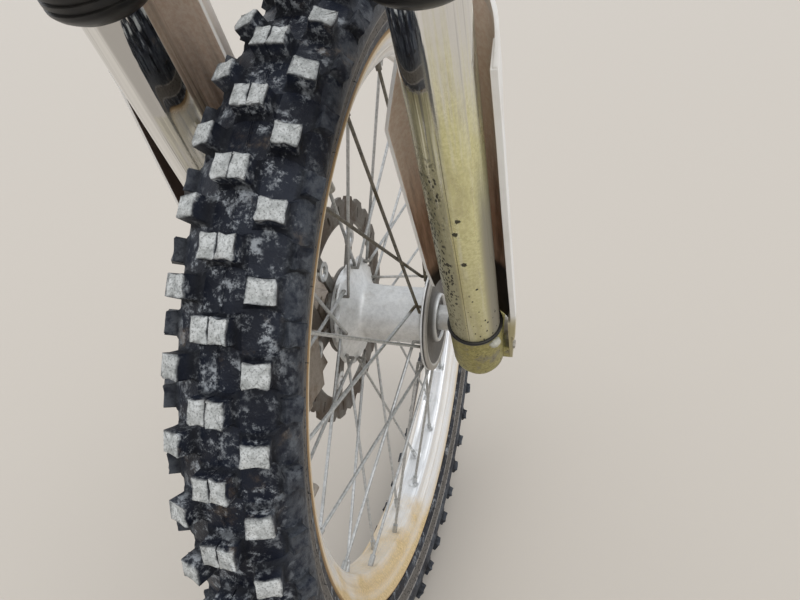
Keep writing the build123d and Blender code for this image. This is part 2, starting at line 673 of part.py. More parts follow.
def axle_lug(name):
    side = SIDES[name]
    bore = INNER_TUBE_RADIUS + SEAT_GAP
    floor = LUG_TOP - LUG_SOCKET_DEPTH - SEAT_GAP
    form = [(0, floor), (bore, floor), (bore, LUG_TOP)]
    form += [(LUG_RADIUS - LUG_LIP, LUG_TOP), (LUG_RADIUS, LUG_TOP - LUG_LIP)]
    form += [(LUG_RADIUS * out, -LUG_DEPTH * down) for out, down in LUG_DOME]
    form.append((0, -LUG_DEPTH))
    cup = Pos(0, -AXLE_LEAD, 0) * turned_upright(form)
    boss = across(LUG_BOSS_RADIUS, -LUG_HALF_WIDTH, LUG_HALF_WIDTH)
    web_half = LUG_HALF_WIDTH - LUG_WEB_INSET
    web = block(-web_half, web_half, -AXLE_LEAD, 0, LUG_WEB_BOTTOM, LUG_WEB_TOP)
    ears = block(
        -PINCH_EAR_HALF_WIDTH,
        PINCH_EAR_HALF_WIDTH,
        0,
        LUG_BOSS_RADIUS + PINCH_EAR_LENGTH,
        -PINCH_EAR_HEIGHT / 2,
        PINCH_EAR_HEIGHT / 2,
    )
    ear_start = side * (INNER_TUBE_RADIUS - TUBE_CLEARANCE)
    ear_end = side * (GUARD_FOOT_REACH - GUARD_WALL - GUARD_TONGUE_INSET - SEAT_GAP)
    ear_front = GUARD_TONGUE_LENGTH - AXLE_LEAD
    ear_top = GUARD_TONGUE_BOTTOM + GUARD_EAR_HEIGHT
    guard_ear = block(ear_start, ear_end, -AXLE_LEAD, ear_front, GUARD_TONGUE_BOTTOM, ear_top)
    lug = cup + boss + web + ears + guard_ear
    if name == "left":
        outline = [(y - AXLE_LEAD, z) for y, z in BRACKET_EAR_OUTLINE]
        ear_face = bracket_face() - SEAT_GAP + TUBE_SPREAD
        lug += side_profile(outline, ear_face - BRACKET_EAR_WIDTH, ear_face)
    lug -= Pos(0, -AXLE_LEAD, 0) * upright(bore, floor, 2 * LUG_TOP)
    lug -= across(AXLE_RADIUS + RUNNING_GAP, -LUG_HALF_WIDTH, LUG_HALF_WIDTH)
    front = LUG_BOSS_RADIUS + PINCH_EAR_LENGTH
    lug -= block(-LUG_HALF_WIDTH, LUG_HALF_WIDTH, 0, front, -PINCH_SLOT / 2, PINCH_SLOT / 2)
    return Pos(side * TUBE_SPREAD, 0, 0) * lug


def wiper(side):
    bottom = WIPER_BOTTOM
    bore = INNER_TUBE_RADIUS + SEAT_GAP
    foot = WIPER_RADIUS - WIPER_LIP_RADIUS
    section = [
        (bore, bottom),
        (WIPER_LIP_RADIUS, bottom - WIPER_LIP_HEIGHT),
        (WIPER_RADIUS - foot / 3, bottom + foot / 3),
        (WIPER_RADIUS, bottom + foot),
        (WIPER_RADIUS, bottom + WIPER_HEIGHT),
        (bore, bottom + WIPER_HEIGHT),
    ]
    return on_leg(side, turned_upright(section))


def outer_tube(side):
    bottom = WIPER_BOTTOM + WIPER_HEIGHT + SEAT_GAP
    foot_top = bottom + OUTER_TUBE_FOOT_HEIGHT
    section = [
        (OUTER_TUBE_BORE_RADIUS, bottom),
        (OUTER_TUBE_FOOT_RADIUS, bottom),
        (OUTER_TUBE_FOOT_RADIUS, foot_top),
        (OUTER_TUBE_RADIUS, foot_top + OUTER_TUBE_TAPER_HEIGHT),
        (OUTER_TUBE_RADIUS, OUTER_TUBE_TOP),
        (OUTER_TUBE_BORE_RADIUS, OUTER_TUBE_TOP),
    ]
    return on_leg(side, turned_upright(section))


def fork_cap(side):
    start = OUTER_TUBE_TOP + SEAT_GAP
    rim_top = start + CAP_RIM_HEIGHT
    hex_top = rim_top + CAP_HEIGHT
    cap = upright(OUTER_TUBE_RADIUS, start, rim_top)
    cap += upright(OUTER_TUBE_BORE_RADIUS - SEAT_GAP, start - CAP_PLUG_DEPTH, start)
    cap += Pos(0, 0, rim_top) * extrude(RegularPolygon(CAP_HEX_RADIUS, 6), CAP_HEIGHT)
    cap += upright(CAP_KNOB_RADIUS, hex_top, hex_top + CAP_KNOB_HEIGHT)
    return on_leg(side, cap)


def clamp(bottom, height, boss_radius, stem_radius):
    """A clamp's body, drawn about the steering axis with the legs in front of it."""
    ring = OUTER_TUBE_RADIUS + CLAMP_WALL
    legs = [Pos(side * TUBE_SPREAD, CLAMP_OFFSET) for side in SIDES.values()]
    outline = Sketch() + [leg * Circle(ring) for leg in legs] + Circle(boss_radius)
    body = Sketch() + make_hull(outline.edges())
    for leg in legs:
        body += leg * Pos(0, -ring) * Rectangle(CLAMP_EAR_WIDTH, 2 * CLAMP_EAR_REACH)
        body -= leg * Circle(OUTER_TUBE_RADIUS + SEAT_GAP)
        body -= leg * Pos(0, -ring) * Rectangle(CLAMP_SLOT, 2 * CLAMP_WALL + 2 * CLAMP_EAR_REACH)
    body -= Circle(stem_radius + SEAT_GAP)
    return Pos(0, 0, bottom) * extrude(body, height)


def lower_clamp():
    body = clamp(LOWER_CLAMP_BOTTOM, LOWER_CLAMP_HEIGHT, STEM_BOSS_RADIUS, STEM_FOOT_RADIUS)
    for x in (-FENDER_BOLT_SQUARE / 2, FENDER_BOLT_SQUARE / 2):
        for y in (-FENDER_BOLT_SQUARE / 2, FENDER_BOLT_SQUARE / 2):
            hole = upright(FENDER_BOLT_RADIUS, LOWER_CLAMP_BOTTOM, LOWER_CLAMP_BOTTOM + FENDER_BOLT_DEPTH)
            body -= Pos(x, y + FENDER_BOLT_FORWARD, 0) * hole
    return on_stem(body)


def upper_clamp():
    return on_stem(clamp(UPPER_CLAMP_BOTTOM, UPPER_CLAMP_HEIGHT, UPPER_BOSS_RADIUS, STEM_TOP_RADIUS))


def steering_stem():
    seat_top = STEM_SEAT_Z + STEM_SEAT_LENGTH
    top = UPPER_CLAMP_TOP + STEM_NUT_HEIGHT
    section = [
        (0, LOWER_CLAMP_BOTTOM),
        (STEM_FOOT_RADIUS, LOWER_CLAMP_BOTTOM),
        (STEM_FOOT_RADIUS, STEM_SEAT_Z),
        (STEM_RADIUS, STEM_SEAT_Z),
        (STEM_RADIUS, seat_top),
        (STEM_WAIST_RADIUS, seat_top + STEM_STEP),
        (STEM_WAIST_RADIUS, UPPER_CLAMP_BOTTOM - STEM_TOP_LENGTH - STEM_STEP),
        (STEM_TOP_RADIUS, UPPER_CLAMP_BOTTOM - STEM_TOP_LENGTH),
        (STEM_TOP_RADIUS, top),
        (0, top),
    ]
    bore = upright(STEM_BORE_RADIUS, LOWER_CLAMP_BOTTOM, LOWER_CLAMP_BOTTOM + STEM_BORE_DEPTH)
    return on_stem(turned_upright(section) - bore)


def stem_nut():
    start = UPPER_CLAMP_TOP + SEAT_GAP
    nut = Pos(0, 0, start) * extrude(RegularPolygon(STEM_NUT_RADIUS, 6), STEM_NUT_HEIGHT)
    nut += upright(STEM_NUT_RADIUS + STEM_NUT_FLANGE, start, start + STEM_NUT_FLANGE_HEIGHT)
    return on_stem(nut - upright(STEM_TOP_RADIUS + SEAT_GAP, start, start + STEM_NUT_HEIGHT))


def bar_pieces(bottom, top):
    """Both handlebar mounts' blocks between two heights above the upper clamp, with the bar's seat cut."""
    half = BAR_MOUNT_LENGTH / 2
    wide = BAR_MOUNT_WIDTH
    slot = Pos(0, 0, BAR_RISE) * block(-wide, wide, -2 * half, 0, -BAR_SLOT / 2, BAR_SLOT / 2)
    piece = block(-BAR_MOUNT_WIDTH / 2, BAR_MOUNT_WIDTH / 2, -half, half, bottom, top)
    if bottom > BAR_RISE:
        piece = fillet(piece.edges().filter_by(Axis.X).group_by(Axis.Z)[-1], BAR_CORNER)
    piece -= Pos(0, 0, BAR_RISE) * across(BAR_RADIUS, -BAR_MOUNT_WIDTH, BAR_MOUNT_WIDTH)
    piece -= slot
    behind = CLAMP_OFFSET - BAR_MOUNT_SETBACK
    places = [Pos(side * BAR_MOUNT_SPREAD, behind, UPPER_CLAMP_TOP) for side in SIDES.values()]
    return on_stem(Compound(children=[place * piece for place in places]))


def bar_mounts():
    return bar_pieces(SEAT_GAP, BAR_RISE - SEAT_GAP / 2)


def bar_mount_caps():
    return bar_pieces(BAR_RISE + SEAT_GAP / 2, BAR_RISE + BAR_CAP_HEIGHT)


def guard_form(name, shrink, past):
    """A guard's outer form about the leg's axis or, shrunk and run past its ends, its hollow."""
    sections = []
    table = GUARD_SECTIONS[name]
    last = len(table) - 1
    for index, (height, inwards, outwards, front) in enumerate(table):
        level = height + {0: -past, last: past}.get(index, 0.0)
        left = (shrink - inwards, 0)
        right = (outwards - shrink, 0)
        arc = ThreePointArc(left, (0, front - shrink), right)
        back = Polyline(right, (right[0], -GUARD_WALL - past), (left[0], -GUARD_WALL - past), left)
        sections.append(Pos(0, 0, level) * make_face([arc, back]))
    return loft(sections, ruled=True)


def in_front_of(edge, x0, x1):
    """All that lies in front of an edge in side view, between two places along X."""
    reach = 2 * LUG_RADIUS
    return side_profile(edge + [(reach, edge[-1][1]), (reach, edge[0][1])], x0, x1)


def fork_guard(name):
    """A moulded guard, open behind, drawn for the right leg."""
    shell = guard_form(name, 0.0, 0.0) - guard_form(name, GUARD_WALL, GUARD_WALL)
    width = 3 * LUG_RADIUS
    kept = in_front_of(GUARD_WHEEL_EDGE[name], -width, 0) + in_front_of(GUARD_OUTER_EDGE[name], 0, width)
    guard = shell & kept
    face = GUARD_FOOT_REACH - GUARD_TONGUE_INSET
    top = GUARD_FOOT + GUARD_TONGUE_LAP
    guard += block(face - GUARD_WALL, face, 0, GUARD_TONGUE_LENGTH, GUARD_TONGUE_BOTTOM, top)
    if name == "left":
        guard = mirror(guard, Plane.YZ)
    return on_leg(SIDES[name], guard)


def at_caliper(shape):
    """Carries a shape drawn with the wheel's radius along Y round to the caliper's place."""
    return Rot(CALIPER_ANGLE, 0, 0) * shape


def pad_back(side):
    """Where a pad's back lies along X, on the outer side of the disc (-1) or on the wheel's side (1)."""
    return DISC_X + side * (DISC_THICKNESS / 2 + PAD_GAP + PAD_THICKNESS)


def bracket_face():
    """Where the bracket's outer face lies along X."""
    return pad_back(-1) - BRACKET_STANDOFF - BRACKET_THICKNESS


def caliper_bracket():
    """The bracket that is bolted behind the left lug and carries the caliper."""
    rear = [polar(DISC_RADIUS - inset, angle) for angle, inset in BRACKET_REAR]
    outline = BRACKET_FRONT + [(corner.Y, corner.Z) for corner in rear]
    return side_profile(outline, bracket_face(), bracket_face() + BRACKET_THICKNESS)


def brake_caliper():
    outer = pad_back(-1) - SEAT_GAP
    inner = pad_back(1) + SEAT_GAP
    far = outer - CALIPER_BODY_WIDTH
    half = CALIPER_HALF_LENGTH
    bridge_r = DISC_RADIUS + WHEEL_GAP
    top_r = bridge_r + CALIPER_BRIDGE
    body = block(far, outer, CALIPER_INNER_RADIUS, top_r, -half, half)
    body = fillet(body.edges().filter_by(Axis.X), CALIPER_CORNER)
    bridge_half = half - CALIPER_BRIDGE_INSET
    bridge = block(far, inner + CALIPER_FINGER, bridge_r, top_r, -bridge_half, bridge_half)
    finger_half = half - CALIPER_FINGER_INSET
    finger_r = bridge_r - CALIPER_FINGER_REACH
    finger = block(inner, inner + CALIPER_FINGER, finger_r, top_r, -finger_half, finger_half)
    caliper = body + bridge + finger
    piston_r = DISC_RADIUS - DISC_TRACK / 2
    for step in (-1, 1):
        caliper += Pos(0, piston_r, step * PISTON_SPREAD) * across(PISTON_RADIUS, far - PISTON_DOME, far)
    inlet_foot = Vector((far + outer) / 2, top_r, 0)
    inlet = rod(inlet_foot, inlet_foot + Vector(0, HOSE_INLET_LENGTH, 0), HOSE_INLET_RADIUS)
    placed = at_caliper(caliper + inlet)
    placed -= on_leg(-1, upright(LUG_RADIUS + TUBE_CLEARANCE, -TYRE_RADIUS, TYRE_RADIUS))
    return placed - caliper_bracket()


def brake_pads():
    pads = []
    outer = DISC_RADIUS - SEAT_GAP
    for side in SIDES.values():
        near = DISC_X + side * (DISC_THICKNESS / 2 + PAD_GAP)
        pad = block(near, pad_back(side), outer - PAD_HEIGHT, outer, -PAD_HALF_LENGTH, PAD_HALF_LENGTH)
        pads.append(at_caliper(pad))
    return Compound(children=pads)


def write(name, shape):
    export_step(leaned(shape), f"parts/{name}.step")


def main():
    os.makedirs("parts", exist_ok=True)
    write("tyre", tyre())
    write("rim", rim())
    write("valve_stem", valve_stem())
    write("rim_lock", rim_lock())
    write("hub", hub())
    write("wheel_bearings", wheel_bearings())
    write("wheel_seals", wheel_seals())
    write("nipples", nipples())
    write("brake_disc", brake_disc())
    write("wheel_axle", wheel_axle())
    write("axle_nut", axle_nut())
    write("steering_stem", steering_stem())
    write("stem_nut", stem_nut())
    write("lower_clamp", lower_clamp())
    write("upper_clamp", upper_clamp())
    write("bar_mounts", bar_mounts())
    write("bar_mount_caps", bar_mount_caps())
    write("brake_caliper", brake_caliper())
    write("caliper_bracket", caliper_bracket())
    write("brake_pads", brake_pads())
    for name, side in SIDES.items():
        write(f"spokes_{name}", spokes(side))
        write(f"axle_collar_{name}", axle_collar(name))
        write(f"axle_lug_{name}", axle_lug(name))
        write(f"inner_tube_{name}", inner_tube(side))
        write(f"wiper_{name}", wiper(side))
        write(f"outer_tube_{name}", outer_tube(side))
        write(f"fork_cap_{name}", fork_cap(side))
        write(f"fork_guard_{name}", fork_guard(name))


main()
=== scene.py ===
import math

import bpy
from mathutils import Matrix, Vector


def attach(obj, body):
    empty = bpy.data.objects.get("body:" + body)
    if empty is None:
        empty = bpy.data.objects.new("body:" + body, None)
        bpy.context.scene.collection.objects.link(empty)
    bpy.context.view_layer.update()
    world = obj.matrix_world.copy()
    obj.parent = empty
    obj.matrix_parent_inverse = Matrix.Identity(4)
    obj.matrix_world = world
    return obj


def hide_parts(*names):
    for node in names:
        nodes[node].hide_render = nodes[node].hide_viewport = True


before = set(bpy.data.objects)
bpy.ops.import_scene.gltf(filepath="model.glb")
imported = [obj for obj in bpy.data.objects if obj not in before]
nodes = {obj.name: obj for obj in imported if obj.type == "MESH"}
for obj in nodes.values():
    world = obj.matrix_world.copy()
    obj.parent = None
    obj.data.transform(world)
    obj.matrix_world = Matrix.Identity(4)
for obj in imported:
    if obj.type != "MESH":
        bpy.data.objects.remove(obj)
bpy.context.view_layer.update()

# The upright frame that the fork is drawn in: the wheel's centre at the origin, Z up along the legs
RAKE = math.radians(27.0)
STEM_BACK = 0.058
STEM_SEAT = 0.732
LEAN = Matrix.Rotation(RAKE, 4, "X") @ Matrix.Translation((0, STEM_BACK, -STEM_SEAT))
WHEEL = LEAN @ Vector((0, 0, 0))
UP_THE_LEG = (LEAN.to_3x3() @ Vector((0, 0, 1))).normalized()
AHEAD_OF_LEG = (LEAN.to_3x3() @ Vector((0, 1, 0))).normalized()

TYRE_RADIUS = 0.345
KNOB_HEIGHT = 0.012
PITCHES = 50
KNOB_TURN = 6.3
TUBE_SPREAD = 0.094
AXLE_LEAD = 0.034
TUBE_RADIUS = 0.0225
SIDES = {"left": -1, "right": 1}
FLOOR_Z = WHEEL.z - TYRE_RADIUS

# The camera, as it stood above and behind the wheel, beside the right leg
CAMERA_FROM_WHEEL = Vector((0.1749, -0.5324, 0.3160))
CAMERA_FORWARD = Vector((-0.26497, 0.84040, -0.47277))
CAMERA_RIGHT = Vector((0.96128, 0.26873, -0.06117))
FOCAL_PIXELS = 613.2
PHOTO_WIDTH = 800
SENSOR = 36.0


# Studio


def set_camera():
    """The camera at the photograph's place."""
    forward = CAMERA_FORWARD.normalized()
    right = (CAMERA_RIGHT - forward * CAMERA_RIGHT.dot(forward)).normalized()
    up = right.cross(forward)
    data = bpy.data.cameras.new("camera")
    data.sensor_width = SENSOR
    data.lens = FOCAL_PIXELS * SENSOR / PHOTO_WIDTH
    data.clip_start = 0.01
    camera = bpy.data.objects.new("camera", data)
    bpy.context.scene.collection.objects.link(camera)
    turn = Matrix((right, up, -forward)).transposed().to_4x4()
    camera.matrix_world = Matrix.Translation(WHEEL + CAMERA_FROM_WHEEL) @ turn
    bpy.context.scene.camera = camera


def set_floor():
    bpy.ops.object.select_all(action="DESELECT")
    bpy.ops.mesh.primitive_plane_add(size=600.0, location=(0, 0, FLOOR_Z))
    floor = bpy.context.object
    floor.name = "studio_floor"
    paint = Paint("studio_floor", {"Roughness": 0.9})
    paint.finish({"Base Color": FLOOR_COLOUR})
    floor.data.materials.append(paint.material)


def set_light():
    world = bpy.data.worlds.new("studio")
    bpy.context.scene.world = world
    world.use_nodes = True
    tree = world.node_tree
    tree.nodes["Background"].inputs["Color"].default_value = (*SKY_COLOUR, 1)
    tree.nodes["Background"].inputs["Strength"].default_value = SKY_STRENGTH
    for name, place, width, strength in LAMPS:
        data = bpy.data.lights.new(name, "SUN")
        data.angle = math.radians(width)
        data.energy = strength
        lamp = bpy.data.objects.new(name, data)
        bpy.context.scene.collection.objects.link(lamp)
        lamp.rotation_euler = Vector(place).to_track_quat("Z", "Y").to_euler()


FLOOR_COLOUR = (0.50, 0.455, 0.40)
SKY_COLOUR = (0.93, 0.96, 1.0)
SKY_STRENGTH = 0.95
# How high up each leg the oil film reaches, and the pits that stand out: height, angle round the tube, size
FILM_TOP = {"left": 0.300, "right": 0.317}
TUBE_MARKS = {
    "left": [],
    "right": [
        (0.2115, -81.0, 0.0016),
        (0.1981, -88.0, 0.0018),
        (0.1608, -113.0, 0.0017),
        (0.1639, -80.0, 0.0017),
        (0.1300, -62.0, 0.0009),
    ],
}
FILM_SOFT = {"left": 0.205, "right": 0.315}
FILM_SHARE = {"left": 0.35, "right": 1.0}
# How strongly each leg's bare chrome shows the painted reflection bands
REFLECTION_BAND_SHARE = {"left": 0.75, "right": 0.2}
# How high up each guard's inside is rusty; on the left guard the part below is also painted shade from the tube
GUARD_RUST_AND_SHADE = {"left": 0.285, "right": 0.205}
OUTER_SHADE = {"left": 0.95, "right": 0.35}
LIP_SHARE = {"left": 0.05, "right": 1.0}
# The rust on each guard's inside, darkest and lightest; the left pair is darker still, painted shade from the tube
RUST_AND_SHADE_COLOURS = {
    "left": ((0.05, 0.026, 0.018), (0.15, 0.085, 0.060)),
    "right": ((0.22, 0.11, 0.062), (0.68, 0.42, 0.27)),
}
SPOKE_PHASE = 16.0
DISC_ARM_PHASE = 36.0
CALIPER_ANGLE = 152.0
HUB_PETALS = 9
FIRST_SCALLOP = 46.0
# The lamps: where each stands, how many degrees across it looks, and its strength
LAMPS = [
    ("overhead", (0.35, -0.45, 1.0), 55.0, 1.2),
    ("side", (-0.9, 0.2, 0.6), 60.0, 0.25),
]


# Shader maths


class Value:
    """One socket of a material, on which sums are written as they are on numbers."""

    def __init__(self, paint, socket):
        self.paint = paint
        self.socket = socket

    def math(self, operation, first, second=0.0, clamp=False):
        return self.paint.node("ShaderNodeMath", {"operation": operation, "use_clamp": clamp}, {0: first, 1: second})

    def __add__(self, other):
        return self.math("ADD", self, other)

    def __radd__(self, other):
        return self.math("ADD", other, self)

    def __sub__(self, other):
        return self.math("SUBTRACT", self, other)

    def __rsub__(self, other):
        return self.math("SUBTRACT", other, self)

    def __mul__(self, other):
        return self.math("MULTIPLY", self, other)

    def __rmul__(self, other):
        return self.math("MULTIPLY", other, self)

    def __truediv__(self, other):
        return self.math("DIVIDE", self, other)

    def __rtruediv__(self, other):
        return self.math("DIVIDE", other, self)

    def __abs__(self):
        return self.math("ABSOLUTE", self)

    def __pow__(self, other):
        return self.math("POWER", self, other)

    def held(self):
        """Held between 0 and 1."""
        return self.math("ADD", self, 0.0, clamp=True)

    def step(self, low, high):
        """0 at low or under it, 1 at high or over it, and smooth between; low may be the greater."""
        return self.paint.node(
            "ShaderNodeMapRange",
            {"interpolation_type": "SMOOTHSTEP"},
            {"Value": self, "From Min": low, "From Max": high, "To Min": 0.0, "To Max": 1.0},
        )


class Paint:
    """A material on the principled shader, built up from object coordinates."""

    def __init__(self, name, fixed):
        self.material = bpy.data.materials.new(name)
        self.material.use_nodes = True
        self.tree = self.material.node_tree
        self.shader = self.tree.nodes["Principled BSDF"]
        for socket, value in fixed.items():
            self.feed(self.shader.inputs[socket], value)
        self.place = self.node("ShaderNodeTexCoord", {}, {}, "Object")

    def feed(self, socket, value):
        if isinstance(value, Value):
            self.tree.links.new(value.socket, socket)
        elif socket.type == "RGBA":
            socket.default_value = (*value, 1.0)
        else:
            socket.default_value = value

    def node(self, kind, settings, sockets, out=0):
        """A node of any kind: its settings first, then the values or links of its sockets."""
        node = self.tree.nodes.new(kind)
        for key, value in settings.items():
            setattr(node, key, value)
        for key, value in sockets.items():
            self.feed(node.inputs[key], value)
        return Value(self, node.outputs[out])

    def stretched(self, scales, origin=(0.0, 0.0, 0.0), turn=0.0):
        """Object coordinates about a point, turned about X and stretched along each axis."""
        about = self.node("ShaderNodeVectorMath", {"operation": "SUBTRACT"}, {0: self.place, 1: origin})
        turned = self.node("ShaderNodeMapping", {"vector_type": "POINT"}, {"Vector": about, "Rotation": (turn, 0, 0)})
        return self.node("ShaderNodeVectorMath", {"operation": "MULTIPLY"}, {0: turned, 1: scales})

    def noise(self, scale, detail=4.0, rough=0.55, where=None):
        sockets = {"Vector": where or self.place, "Scale": scale, "Detail": detail, "Roughness": rough}
        return self.node("ShaderNodeTexNoise", {}, sockets)

    def cells(self, scale, where=None, feature="F1"):
        return self.node("ShaderNodeTexVoronoi", {"feature": feature}, {"Vector": where or self.place, "Scale": scale})

    def along(self, direction, origin):
        """The distance along a direction from a point."""
        about = self.node("ShaderNodeVectorMath", {"operation": "SUBTRACT"}, {0: self.place, 1: tuple(origin)})
        return self.node(
            "ShaderNodeVectorMath", {"operation": "DOT_PRODUCT"}, {0: about, 1: tuple(direction)}, "Value"
        )

    def wheel_radius(self):
        """The distance from the axle's line."""
        about = self.node("ShaderNodeVectorMath", {"operation": "SUBTRACT"}, {0: self.place, 1: tuple(WHEEL)})
        flat = self.node("ShaderNodeVectorMath", {"operation": "MULTIPLY"}, {0: about, 1: (0, 1, 1)})
        return self.node("ShaderNodeVectorMath", {"operation": "LENGTH"}, {0: flat}, "Value")

    def wheel_polar(self):
        """The distance from the axle's line, the angle round it in radians, and X."""
        apart = self.node("ShaderNodeVectorMath", {"operation": "SUBTRACT"}, {0: self.place, 1: tuple(WHEEL)})
        x = self.node("ShaderNodeSeparateXYZ", {}, {"Vector": apart}, "X")
        y = self.node("ShaderNodeSeparateXYZ", {}, {"Vector": apart}, "Y")
        z = self.node("ShaderNodeSeparateXYZ", {}, {"Vector": apart}, "Z")
        return self.wheel_radius(), x.math("ARCTAN2", z, y), x

    def outwards(self, direction):
        """How far the surface faces a direction, from -1 to 1."""
        normal = self.node("ShaderNodeNewGeometry", {}, {}, "Normal")
        return self.node("ShaderNodeVectorMath", {"operation": "DOT_PRODUCT"}, {0: normal, 1: tuple(direction)}, "Value")

    def own(self, name):
        """The piece's own attribute."""
        return self.node("ShaderNodeAttribute", {"attribute_name": name}, {}, "Fac")

    def mixed(self, factor, first, second):
        return self.node(
            "ShaderNodeMix",
            {"data_type": "RGBA", "clamp_factor": True},
            {"Factor": factor, 6: first, 7: second},
            2,
        )

    def bump(self, height, distance, strength=1.0, below=None):
        sockets = {"Height": height, "Distance": distance, "Strength": strength}
        if below is not None:
            sockets["Normal"] = below
        return self.node("ShaderNodeBump", {}, sockets)

    def finish(self, varying):
        for socket, value in varying.items():
            self.feed(self.shader.inputs[socket], value)
        return self.material


# Materials


def paint_tyre():
    """Blue-black rubber with chalky smears and earth on it, the knobs' tops worn to a pale grey, a painted sheen on its
    shoulders and painted shade on the knobs' sides.
    """
    paint = Paint("dusty_tyre", {"Specular IOR Level": 0.22})
    radius, angle, x = paint.wheel_polar()
    worn = paint.own("worn")
    broad = paint.noise(24.0, 3.0, 0.5)
    fine = paint.noise(190.0, 5.0, 0.65)
    grain = paint.noise(900.0, 2.0, 0.6)
    smear = paint.noise(90.0, 8.0, 0.8)
    rubber = paint.mixed(broad.step(0.35, 0.7), (0.0042, 0.0056, 0.0115), (0.0105, 0.0142, 0.0250))
    rubber = paint.mixed(fine.step(0.5, 0.8) * 0.5, rubber, (0.030, 0.033, 0.040))
    middle = abs(x).step(0.037, 0.024)
    spread = paint.noise(52.0, 4.0, 0.6, paint.stretched((1.0, 1.0, 1.0), (0.7, 0.2, 0.9)))
    chalk = (smear.step(0.490, 0.580) * spread.step(0.38, 0.57) * fine.step(0.39, 0.57) * (0.25 + middle * 0.75)).held()
    skin = paint.mixed(chalk * 0.94, rubber, (0.34, 0.36, 0.38))
    # Painted highlight: a bluish grey sheen painted on the shoulders
    painted_shoulder_sheen = abs(x).step(0.026, 0.036) * broad.step(0.30, 0.55) * fine.step(0.30, 0.62)
    skin = paint.mixed(painted_shoulder_sheen * 0.6, skin, (0.085, 0.094, 0.106))
    earthy = paint.noise(31.0, 5.0, 0.65, paint.stretched((1.0, 1.0, 1.0), (0.3, 0.1, 0.4)))
    skin = paint.mixed(earthy.step(0.57, 0.72) * fine.step(0.35, 0.6) * 0.55, skin, (0.15, 0.105, 0.065))
    strip = (radius.step(0.3012, 0.3004) * radius.step(0.2902, 0.2910)).held()
    dots = paint.cells(330.0).step(0.34, 0.22)
    strip_colour = paint.mixed(dots, (0.125, 0.112, 0.098), (0.006, 0.006, 0.007))
    skin = paint.mixed(strip * 0.9, skin, strip_colour)
    lines = (abs(radius - 0.3012).step(0.0010, 0.0004) + abs(radius - 0.2900).step(0.0010, 0.0004)).held()
    skin = paint.mixed(lines * fine.step(0.3, 0.5) * 0.8, skin, (0.27, 0.25, 0.23))
    # Painted shade: the knobs' sides, marked below zero in the worn attribute, are painted near black
    knob_side_shade = (worn * -1.3).held()
    skin = paint.mixed(knob_side_shade * 0.75, skin, (0.0055, 0.0062, 0.0085))
    top = paint.mixed(fine.step(0.34, 0.66), (0.33, 0.34, 0.33), (0.56, 0.57, 0.56))
    top = paint.mixed(smear.step(0.52, 0.66) * 0.6, top, (0.70, 0.71, 0.70))
    top = paint.mixed(grain.step(0.52, 0.64) * 0.6, top, (0.13, 0.13, 0.125))
    rub = (worn * 1.7 - 0.55 + (fine - 0.5) * 0.9).held()
    colour = paint.mixed(rub, skin, top)
    rough = (0.46 + chalk * 0.35 + rub * 0.36 + strip * 0.2 + knob_side_shade * 0.15).held()
    height = fine * 0.6 + grain * 0.4 + smear * 0.5 - dots * strip * 0.8
    paint.finish({"Base Color": colour, "Roughness": rough, "Normal": paint.bump(height, 0.0012, 0.7)})
    return paint.material


def paint_rim():
    """Bright aluminium, turned smooth and dimpled at the nipples, with ochre dirt baked on along the flange."""
    paint = Paint("dirty_rim", {})
    radius, angle, x = paint.wheel_polar()
    patch = paint.noise(9.0, 4.0, 0.6)
    fine = paint.noise(480.0, 5.0, 0.7)
    around = paint.node("ShaderNodeCombineXYZ", {}, {"X": angle * 0.12, "Y": radius * 14.0, "Z": x * 14.0})
    turned = paint.noise(60.0, 3.0, 0.6, around)
    clean = paint.mixed(turned.step(0.3, 0.7), (0.78, 0.785, 0.79), (0.92, 0.925, 0.93))
    edge = radius.step(0.268, 0.2802)
    corner = (abs(x).step(0.0115, 0.0165) * abs(x).step(0.0235, 0.0190)).held()
    low = (paint.along((0, -0.57, -0.82), WHEEL) + (patch - 0.5) * 0.10).step(0.214, 0.262)
    dirt = (edge * 0.9 + corner * 0.25 + low * 0.75 + patch.step(0.52, 0.74) * 0.3 + (fine - 0.5) * 0.7).held()
    ochre = paint.mixed(fine.step(0.35, 0.65), (0.43, 0.29, 0.105), (0.66, 0.48, 0.225))
    colour = paint.mixed(dirt * 0.9, clean, ochre)
    colour = paint.mixed(radius.step(0.2776, 0.2788) * 0.9, colour, (0.25, 0.155, 0.070))
    turn = (angle - RAKE) * (18.0 / math.tau)
    dimples = 0.0
    for side in SIDES.values():
        phase = (SPOKE_PHASE + 5.0 * (side + 1)) / 20.0
        apart = ((turn - phase).math("FRACT", turn - phase + 0.5) - 0.5) * 0.0932
        away = (apart * apart + (x - side * 0.0045) * (x - side * 0.0045)).math("SQRT", apart * apart + (x - side * 0.0045) * (x - side * 0.0045))
        dimples = away.step(0.0085, 0.0055) + dimples
    paint.finish(
        {
            "Base Color": colour,
            "Metallic": (0.9 - dirt * 0.85).held(),
            "Roughness": (0.26 + dirt * 0.5 + turned * 0.1).held(),
            "Normal": paint.bump(turned * 0.12 + fine * 0.12 - dimples, 0.0012, 0.5),
        }
    )
    return paint.material


def paint_cast(name, dark, light, dirt, share, rough):
    """Cast or blasted aluminium with dirt in patches and over its fine pits."""
    paint = Paint(name, {})
    patch = paint.noise(38.0, 5.0, 0.65)
    pits = paint.noise(700.0, 2.0, 0.6)
    fine = paint.noise(210.0, 5.0, 0.7)
    metal = paint.mixed(fine.step(0.3, 0.7), dark, light)
    soil = (patch.step(0.5, 0.7) * share + fine.step(0.55, 0.8) * share * 0.5).held()
    colour = paint.mixed(soil, metal, dirt)
    paint.finish(
        {
            "Base Color": colour,
            "Metallic": (0.55 - soil * 0.5).held(),
            "Roughness": (rough + soil * 0.3 + (fine - 0.5) * 0.15).held(),
            "Normal": paint.bump(pits * 0.6 + fine * 0.6, 0.0005, 0.5),
        }
    )
    return paint.material


